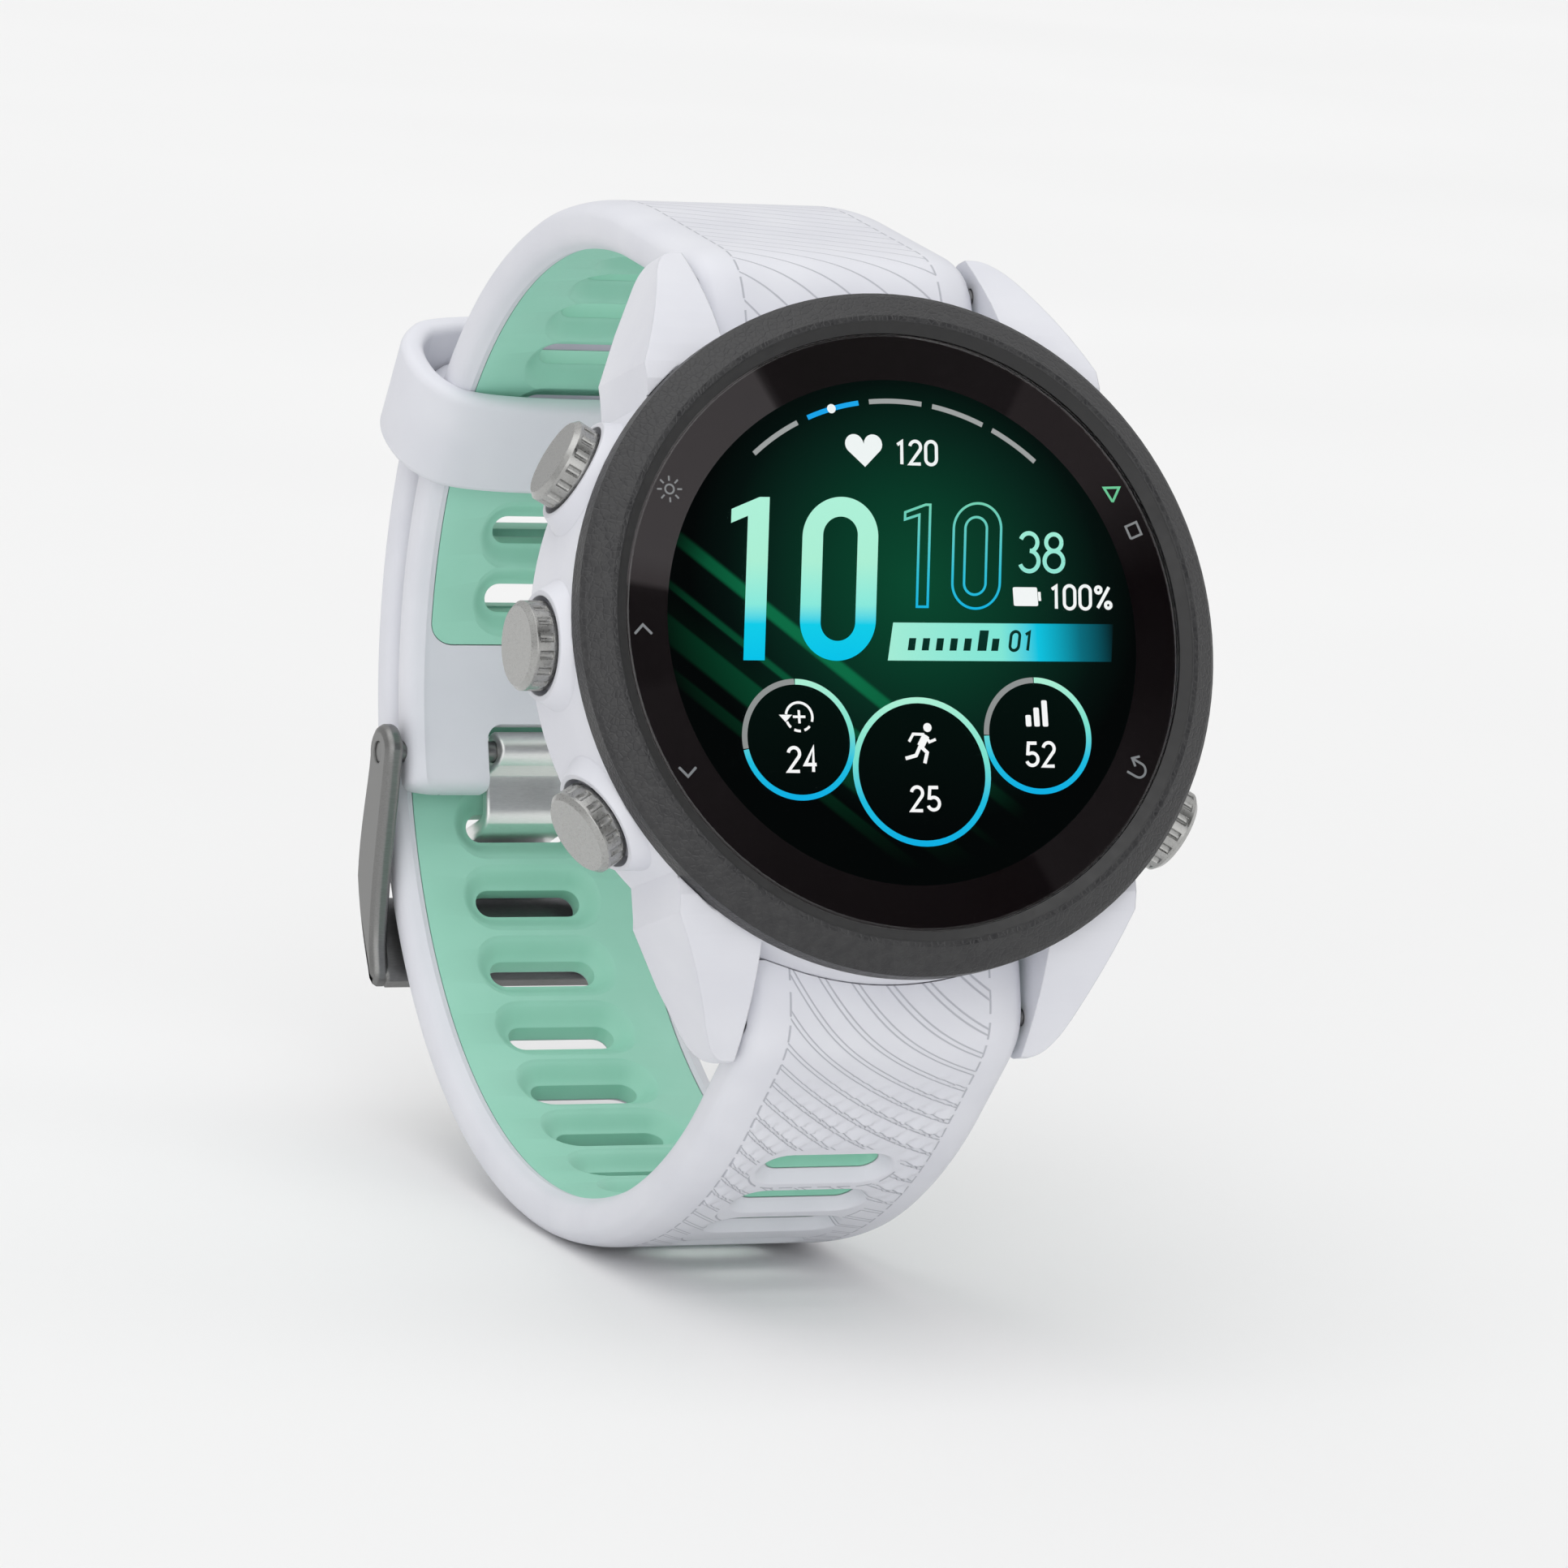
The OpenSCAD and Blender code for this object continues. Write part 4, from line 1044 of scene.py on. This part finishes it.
def strap_paint(name, layer):
    """Silicone with fine curved lines cut into the outer face's panel, and an outline round it. The lines and
    outline are also darkened in colour: painted shade in the grooves.
    """
    n = Nodes(name)
    place = n.place()
    x = n.axis(place, "X")
    dy = n.sub(n.axis(place, "Y"), loop.y)
    dz = n.sub(n.axis(place, "Z"), loop.z)
    ahead = n.add(n.mul(dy, -layer.side * math.sin(layer.start)),
                    n.mul(dz, layer.side * math.cos(layer.start)))
    turned = n.mul(n.sub(n.maths("ARCTAN2", dz, dy), layer.start),
                     layer.side * layer.mid)
    s = n.add(n.most(ahead, 0.0), n.maths("MINIMUM", turned, 0.0))
    squares = n.add(n.mul(dy, dy), n.mul(dz, dz))
    outside = n.most(n.maths("GREATER_THAN", n.maths("SQRT", squares), layer.outer - 1.2),
                      n.maths("GREATER_THAN", s, 0.5))
    if layer.side < 0:
        bent = n.mul(n.mul(x, x), BEND_B)
        lean_x = n.sub(n.mul(x, BEND_A), bent)
        line_pitch, second = PITCH, 0.34
    else:
        steeper = n.mul(n.most(n.sub(s, 4.0), 0.0), -0.02)
        lean_x = n.mul(x, n.add(steeper, -0.36))
        line_pitch, second = 1.45, 0.0
    count = n.maths("DIVIDE", n.add(s, lean_x), line_pitch)
    part = n.maths("FRACT", count)
    core, fade = 0.02 / line_pitch, 0.075 / line_pitch
    lines = n.spread(n.positive(n.sub(part, 0.5)), core, fade, 1.0, 0.0)
    if second:
        other = n.positive(n.sub(part, 0.5 + second / line_pitch))
        lines = n.most(lines, n.spread(other, core, fade, 1.0, 0.0))
    off_middle = n.positive(x)
    inside = n.maths("LESS_THAN", off_middle, PANEL)
    # distance to the nearest slot's edge
    pitch_s = math.radians(SLOT_PITCH) * layer.mid
    near_angle = SLOTS["upper"][-1] if layer.side > 0 else SLOTS["lower"][0]
    along = n.sub(s, layer.s_at(near_angle))
    wrapped = n.sub(n.maths("FLOORED_MODULO", n.add(along, pitch_s / 2), pitch_s),
                      pitch_s / 2)
    nearest = n.most(wrapped, along)
    past = n.most(n.sub(off_middle, (SLOT_L - SLOT_H) / 2), 0.0)
    reach = n.maths("SQRT", n.add(n.mul(past, past), n.mul(nearest, nearest)))
    clear = n.maths("GREATER_THAN", reach, SLOT_H / 2 + 1.25)
    lines = n.mul(n.mul(lines, inside), clear)
    dash = n.maths("GREATER_THAN", n.maths("FRACT", n.maths("DIVIDE", s, 1.3)), 0.3)
    border = n.spread(n.positive(n.sub(off_middle, PANEL)), 0.03, 0.09, 1.0, 0.0)
    far_side = n.maths("LESS_THAN", nearest, -0.4)
    slot_dash = n.maths("GREATER_THAN", n.maths("FRACT", n.maths("DIVIDE", x, 1.3)), 0.3)
    ring = n.spread(n.positive(n.sub(reach, SLOT_H / 2 + 1.22)), 0.03, 0.09, 1.0, 0.0)
    ring = n.mul(n.mul(ring, far_side), slot_dash)
    marks = n.most(lines, n.most(n.mul(border, dash), ring))
    marks = n.mul(marks, outside)
    fine = n.noise(place, 4.0, 4.0, 0.65)
    cloud = n.noise(place, 0.18, 2.0)
    tone = n.ramp(cloud, [(0.3, LAVENDER_SHADE), (0.7, LAVENDER)])
    # painted shade: the cut lines and outlines are darkened towards #8f919c, as shade in the grooves
    n.link(n.tint(n.mul(marks, 0.6), tone, "#8f919c"), n.bsdf.inputs["Base Color"])
    n.rough(fine, 0.44, 0.56)
    height = n.sub(n.mul(fine, 0.25), n.mul(marks, 1.6))
    n.bump(height, 0.5, 0.04, 0.1)
    return n.material


RELEASE_Y, RELEASE_Z = 7.9, 22.4
drum = case_drum()
LINERS = {"upper": (upper.s_at(WINDOW_LOW), upper.s_at(math.degrees(upper.start) - 6)),
          "lower": (lower.s_at(LINER_END), lower.s_at(math.degrees(lower.start) + 2))}
LINER_HALF = STRAP_W / 2 - RIM
LINER_GAP = 0.06
OVER = 0.6                    # how far a cutter runs past what it cuts


def build_strap(name, layer, end_angle, tip_r, plan_r, extra):
    """Makes a strap half and its liner, each with its slots."""
    s0, s1 = LINERS[name]
    cutters = [flared_slot(layer, angle, OUTER_DISH) for angle in SLOTS[name]]
    pocket = curved_plate(layer, s0 - LINER_GAP, s1 + LINER_GAP, LINER_HALF + LINER_GAP,
                          STRAP_T - LINER_T - 0.02, STRAP_T + OVER, 1.6)
    cutters += [pocket, drum, pin_bore(RELEASE_Y, layer.side * RELEASE_Z, 0.92, 9.5)]
    strap_mesh = cut(f"{name}_strap_shape", strap_body(layer, end_angle, tip_r, plan_r), cutters + extra)
    pattern = strap_paint(f"{name}_strap_pattern", layer)
    strap_piece = finish_mesh(f"{name}_strap_band", strap_mesh, "watch", pattern, 35)
    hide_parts(f"{name}_strap")
    plate = curved_plate(layer, s0, s1, LINER_HALF, STRAP_T - LINER_T, STRAP_T - 0.1, 1.5)
    collars = [flared_slot(layer, angle, COLLAR) for angle in SLOTS[name]]
    collared = cut(f"{name}_collars", plate, collars, "UNION")
    slots = [flared_slot(layer, angle, INNER_DISH) for angle in SLOTS[name]]
    liner_mesh = cut(f"{name}_liner_shape", collared, slots)
    liner_piece = finish_mesh(f"{name}_liner_band", liner_mesh, "watch", mint_silicone, 28)
    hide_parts(f"{name}_liner")


PIN_ANGLE = math.degrees(math.atan2(pin.z - loop.z, pin.y - loop.y))
notch = curved_plate(upper, upper.s_at(UPPER_END - 5), upper.s_at(PIN_ANGLE + 3.4),
                     3.6, -OVER, STRAP_T + OVER, 1.1)
build_strap("upper", upper, UPPER_END, 0.9, 0.5, [notch, pin_bore(pin.y, pin.z, 0.72, 11)])
build_strap("lower", lower, LOWER_END, 0.9, 3.5, [])

# ---- keeper --------------------------------------------------------------------------------

KEEPER_MID = 47.5
KEEPER_HALF = 3.6
KEEPER_T = 1.5


def soften(points, times):
    """Rounds a closed outline by cutting its corners again and again."""
    for _ in range(times):
        cut_points = []
        for i, a in enumerate(points):
            b = points[(i + 1) % len(points)]
            cut_points += [a.lerp(b, 0.25), a.lerp(b, 0.75)]
        points = cut_points
    return points


def keeper_band():
    """A soft box round both layers: a rounded section carried round a rounded outline."""
    low = UPPER_R - STRAP_T - 0.7 - KEEPER_T / 2
    high = LOWER_R + 0.5 + KEEPER_T / 2
    wide = STRAP_W / 2 + 0.45 + KEEPER_T / 2
    bulge = (wide + 0.35, (low + high) / 2 + 0.5)
    half_outline = [Vector(p) for p in ((wide - 2.9, low), (wide - 0.2, low + 2.2), bulge,
                                        (wide - 0.2, high - 2.0), (wide - 2.4, high))]
    outline = half_outline + [Vector((-p.x, p.y)) for p in reversed(half_outline)]
    outline = soften(outline, 4)
    r = 0.6
    section = []
    for cx, cy, start in ((KEEPER_T / 2 - r, KEEPER_HALF - r, 0), (r - KEEPER_T / 2, KEEPER_HALF - r, 90),
                          (r - KEEPER_T / 2, r - KEEPER_HALF, 180), (KEEPER_T / 2 - r, r - KEEPER_HALF, 270)):
        section += arc(cx, cy, r, start, start + 90, 6)
    turn = math.radians(KEEPER_MID)
    out = Vector((0, math.cos(turn), math.sin(turn)))
    along = Vector((0, -math.sin(turn), math.cos(turn)))
    centre = Vector((0, loop.y, loop.z))
    n, m = len(outline), len(section)
    vertices, faces = [], []
    for i, p in enumerate(outline):
        way = (outline[(i + 1) % n] - outline[i - 1]).normalized()
        normal = Vector((way.y, -way.x))
        for o, t in section:
            crown = 0.18 * (1 - (t / KEEPER_HALF) ** 2) if o > 0 else 0.0
            q = p + normal * (o - 0.1 + crown)
            vertices.append(tuple(centre + Vector((q.x, 0, 0)) + out * q.y + along * t))
    for i in range(n):
        for j in range(m):
            k, a, b = (j + 1) % m, i * m, ((i + 1) % n) * m
            faces.append((a + j, a + k, b + k, b + j))
    return vertices, faces


keeper_mesh = mesh_of("keeper_band", *keeper_band())
keeper_piece = finish_mesh("keeper_band", keeper_mesh, "keeper", silicone, 40)
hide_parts("keeper_loop")

# ---- buckle --------------------------------------------------------------------------------

ARM_IN = STRAP_W / 2 + 0.4
ARM_T = 1.2
FRAME_R = LOWER_R + 0.5
FRAME_T = 1.3
FRAME_TOP, FRAME_LOW = -12.6, -22.5


def round_loop(r, a):
    """A (y, z) place at a radius and an angle in degrees round the strap's loop."""
    return Vector((loop.y + r * cosd(a), loop.z + r * sind(a)))


def inset(outline, distance):
    """A closed outline moved inwards; the outline runs counter-clockwise."""
    moved = []
    for i, p in enumerate(outline):
        before = (p - outline[i - 1]).normalized()
        after = (outline[(i + 1) % len(outline)] - p).normalized()
        way = (before + after).normalized()
        moved.append(p + Vector((-way.y, way.x)) * distance / max(0.6, way.dot(before)))
    return moved


def counter_clockwise(outline):
    area = sum(outline[i - 1].x * p.y - p.x * outline[i - 1].y for i, p in enumerate(outline))
    return outline if area > 0 else list(reversed(outline))


def side_plate(outline, levels, width=None):
    """Stacks a side outline of (y, z) points along X at (x, inset) levels."""
    outline = counter_clockwise(outline)
    vertices = []
    for x, distance in levels:
        for p in inset(outline, distance):
            vertices.append((x * (width(p) if width else 1.0), p.x, p.y))
    return vertices, loft_faces(len(levels), len(outline))


def arm_outline():
    """Side view of an arm: round eye on the pin, slim shank, and a foot that hooks to the plate."""
    eye = Vector((pin.y, pin.z))
    points = [eye + Vector((cosd(a), sind(a))) * 1.85
              for a in range(5, 191, 12)]
    outer = FRAME_R + FRAME_T
    inner_edge = bezier(points[-1], round_loop(29.3, -5), round_loop(FRAME_R - 2.6, -13),
                        round_loop(FRAME_R - 0.7, -19), 10)
    foot = bezier(inner_edge[-1], round_loop(FRAME_R - 0.1, FRAME_LOW + 1.2), round_loop(FRAME_R, FRAME_LOW),
                  round_loop(outer - 0.4, FRAME_LOW), 6)
    tail = bezier(foot[-1], round_loop(outer, FRAME_LOW), round_loop(outer, -16),
                  round_loop(outer - 1.1, -10), 10)
    back = bezier(tail[-1], round_loop(outer - 2.4, -5), round_loop(32.2, -1), points[0], 8)
    return points + inner_edge + foot + tail + back[:-1]


def cross_plate():
    """The plate outside the tail, with eased edges."""
    stations = 14
    span = [FRAME_TOP + (FRAME_LOW - FRAME_TOP) * i / stations for i in range(stations + 1)]
    ends = (span[0], span[-1])
    outline = [round_loop(FRAME_R + FRAME_T - (0.25 if a in ends else 0.0), a) for a in span]
    outline += [round_loop(FRAME_R + (0.2 if a in ends else 0.0), a) for a in reversed(span)]
    half = ARM_IN + 0.2
    return side_plate(outline, [(-half, 0.1), (-half + 0.1, 0.0), (half - 0.1, 0.0), (half, 0.1)])


arm_levels = [(0.0, 0.3), (0.12, 0.1), (0.3, 0.0), (0.75, 0.0), (1.02, 0.16), (ARM_T, 0.5)]
arm = arm_outline()
frame_solids = [cross_plate()]
for side_x in (1, -1):
    frame_solids.append(side_plate(arm, [(side_x * (ARM_IN + x), d) for x, d in arm_levels]))
frame_joined = cut("buckle_solid", frame_solids[0], frame_solids[1:], "UNION")
frame_mesh = cut("buckle_shape", frame_joined, [pin_bore(pin.y, pin.z, 0.74, 12)])
frame_piece = finish_mesh("buckle_body", frame_mesh, "buckle", PAINTS["buckle_steel"], 24)
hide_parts("buckle_frame")


def tang_outline():
    """Side view of the tang: eye, leg down the tail's inner face, and a tip through its slot."""
    inner_r, outer_r = UPPER_R - 0.55, UPPER_R + 0.35
    eye = Vector((pin.y, pin.z))
    eye_r = 1.33
    facing = round(PIN_ANGLE)
    points = [eye + Vector((cosd(a), sind(a))) * eye_r
              for a in range(facing - 40, facing + 231, 15)]
    leg = [round_loop(inner_r, a) for a in (-0.4, -1.8, -3.2, -4.6)]
    bend = [round_loop(inner_r + 0.12, -5.5), round_loop(inner_r + 0.45, -6.3),
            round_loop(inner_r + 1.0, -6.8),
            round_loop(inner_r + 1.7, -6.95)]
    tip = [round_loop(FRAME_R - 0.3, -6.9), round_loop(FRAME_R, -7.6), round_loop(FRAME_R, FRAME_TOP + 1.1),
           round_loop(FRAME_R + 0.3, FRAME_TOP + 0.9), round_loop(FRAME_R + 0.7, FRAME_TOP + 0.9),
           round_loop(FRAME_R + 1.0, FRAME_TOP + 1.5), round_loop(FRAME_R + 1.0, -6.2),
           round_loop(FRAME_R + 0.7, -5.3), round_loop(FRAME_R + 0.1, -5.1)]
    back = [round_loop(outer_r + 0.5, -5.1), round_loop(outer_r + 0.1, -4.7), round_loop(outer_r, -4.0),
            round_loop(outer_r, -1.4)]
    return points + leg + bend + tip + back


def tang_width(p):
    """Half the tang's width: waisted below the eye and broad at the slot."""
    down = min(1.0, max(0.0, (pin.z + 1.2 - p.y) / 5.2))
    return 2.62 + 0.3 * down + 0.12 * cosd(min(360.0, 720.0 * down))


tang_levels = [(-1.0, 0.22), (-0.975, 0.07), (-0.94, 0.0), (0.94, 0.0), (0.975, 0.07), (1.0, 0.22)]
tang_shape = cut("tang_shape", side_plate(tang_outline(), tang_levels, tang_width),
                 [pin_bore(pin.y, pin.z, 0.74, 6)])
tang_piece = finish_mesh("tang_body", tang_shape, "tang", PAINTS["tang_steel"], 24)
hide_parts("buckle_tang")

# ---- floor, lights and camera --------------------------------------------------------------

FLOOR_HALF = 12.0
corners = [(x * FLOOR_HALF, y * FLOOR_HALF, 0) for x, y in ((-1, -1), (1, -1), (1, 1), (-1, 1))]
floor_mesh = bpy.data.meshes.new("floor")
floor_mesh.from_pydata(corners, [], [(0, 1, 2, 3)])
floor = bpy.data.objects.new("floor", floor_mesh)
paper = Nodes("floor_paper")
paper_tone = paper.ramp(paper.noise(paper.place(), 0.01, 1.0), [(0.3, "#efefef"), (0.7, "#f1f1f1")])
paper.link(paper_tone, paper.bsdf.inputs["Base Color"])
paper.bsdf.inputs["Roughness"].default_value = 0.9
paper.bsdf.inputs["Specular IOR Level"].default_value = 0.0
floor_mesh.materials.append(paper.material)
bpy.context.scene.collection.objects.link(floor)

WORLD_SIDE, WORLD_TOP = 0.55, 0.95
GLASS_MIRRORS = (0.40, -0.80, 0.45)   # the way the glass would mirror, kept dark


def studio_world():
    """A plain studio, brighter overhead and dark only where the glass would mirror it."""
    world = bpy.data.worlds.new("studio")
    world.use_nodes = True
    bpy.context.scene.world = world
    tree = world.node_tree

    def added(kind, inputs, **settings):
        node = tree.nodes.new(kind)
        for key, value in settings.items():
            setattr(node, key, value)
        for key, value in inputs.items():
            if isinstance(value, bpy.types.NodeSocket):
                tree.links.new(value, node.inputs[key])
            else:
                node.inputs[key].default_value = value
        return node.outputs

    way = added("ShaderNodeTexCoord", {})["Generated"]
    height = added("ShaderNodeSeparateXYZ", {0: way})["Z"]
    rise = added("ShaderNodeMapRange", {"Value": height, "To Min": WORLD_SIDE, "To Max": WORLD_TOP})[0]
    mirrored = Vector(GLASS_MIRRORS).normalized()
    towards = added("ShaderNodeVectorMath", {0: way, 1: mirrored}, operation="DOT_PRODUCT")["Value"]
    hole = added("ShaderNodeMapRange", {"Value": towards, "From Min": 0.82, "From Max": 0.96,
                                        "To Min": 1.0, "To Max": 0.015})[0]
    product = added("ShaderNodeMath", {0: rise, 1: hole}, operation="MULTIPLY")[0]
    tree.links.new(product, tree.nodes["Background"].inputs["Color"])


studio_world()


def sun(name, towards_light, strength, angle):
    data = bpy.data.lights.new(name, "SUN")
    data.energy = strength
    data.angle = math.radians(angle)
    light = bpy.data.objects.new(name, data)
    bpy.context.scene.collection.objects.link(light)
    light.rotation_mode = "QUATERNION"
    light.rotation_quaternion = Vector(towards_light).to_track_quat("Z", "Y")
    return light


sun("key_light", (-0.40, -0.75, 0.72), 0.25, 50)
sun("top_light", (-0.22, 0.0, 0.97), 0.55, 55)
sun("front_fill", (-0.20, -0.94, 0.05), 1.45, 70)

CAMERA_AT = (-0.20144, -0.46535, 0.11705)
CAMERA_LOOKS = (0.402, 0.8997, -0.1697)
CAMERA_UP = (0.0005, 0.1851, 0.9828)
camera_data = bpy.data.cameras.new("camera")
camera_data.sensor_width = 36.0
camera_data.lens = 186.3
camera_data.clip_start, camera_data.clip_end = 0.01, 50.0
camera = bpy.data.objects.new("camera", camera_data)
ahead = Vector(CAMERA_LOOKS).normalized()
side = ahead.cross(Vector(CAMERA_UP)).normalized()
above = side.cross(ahead)
camera.matrix_world = Matrix.Translation(CAMERA_AT) @ Matrix((side, above, -ahead)).transposed().to_4x4()
bpy.context.scene.collection.objects.link(camera)
bpy.context.scene.camera = camera
bpy.context.scene.view_settings.view_transform = "Standard"
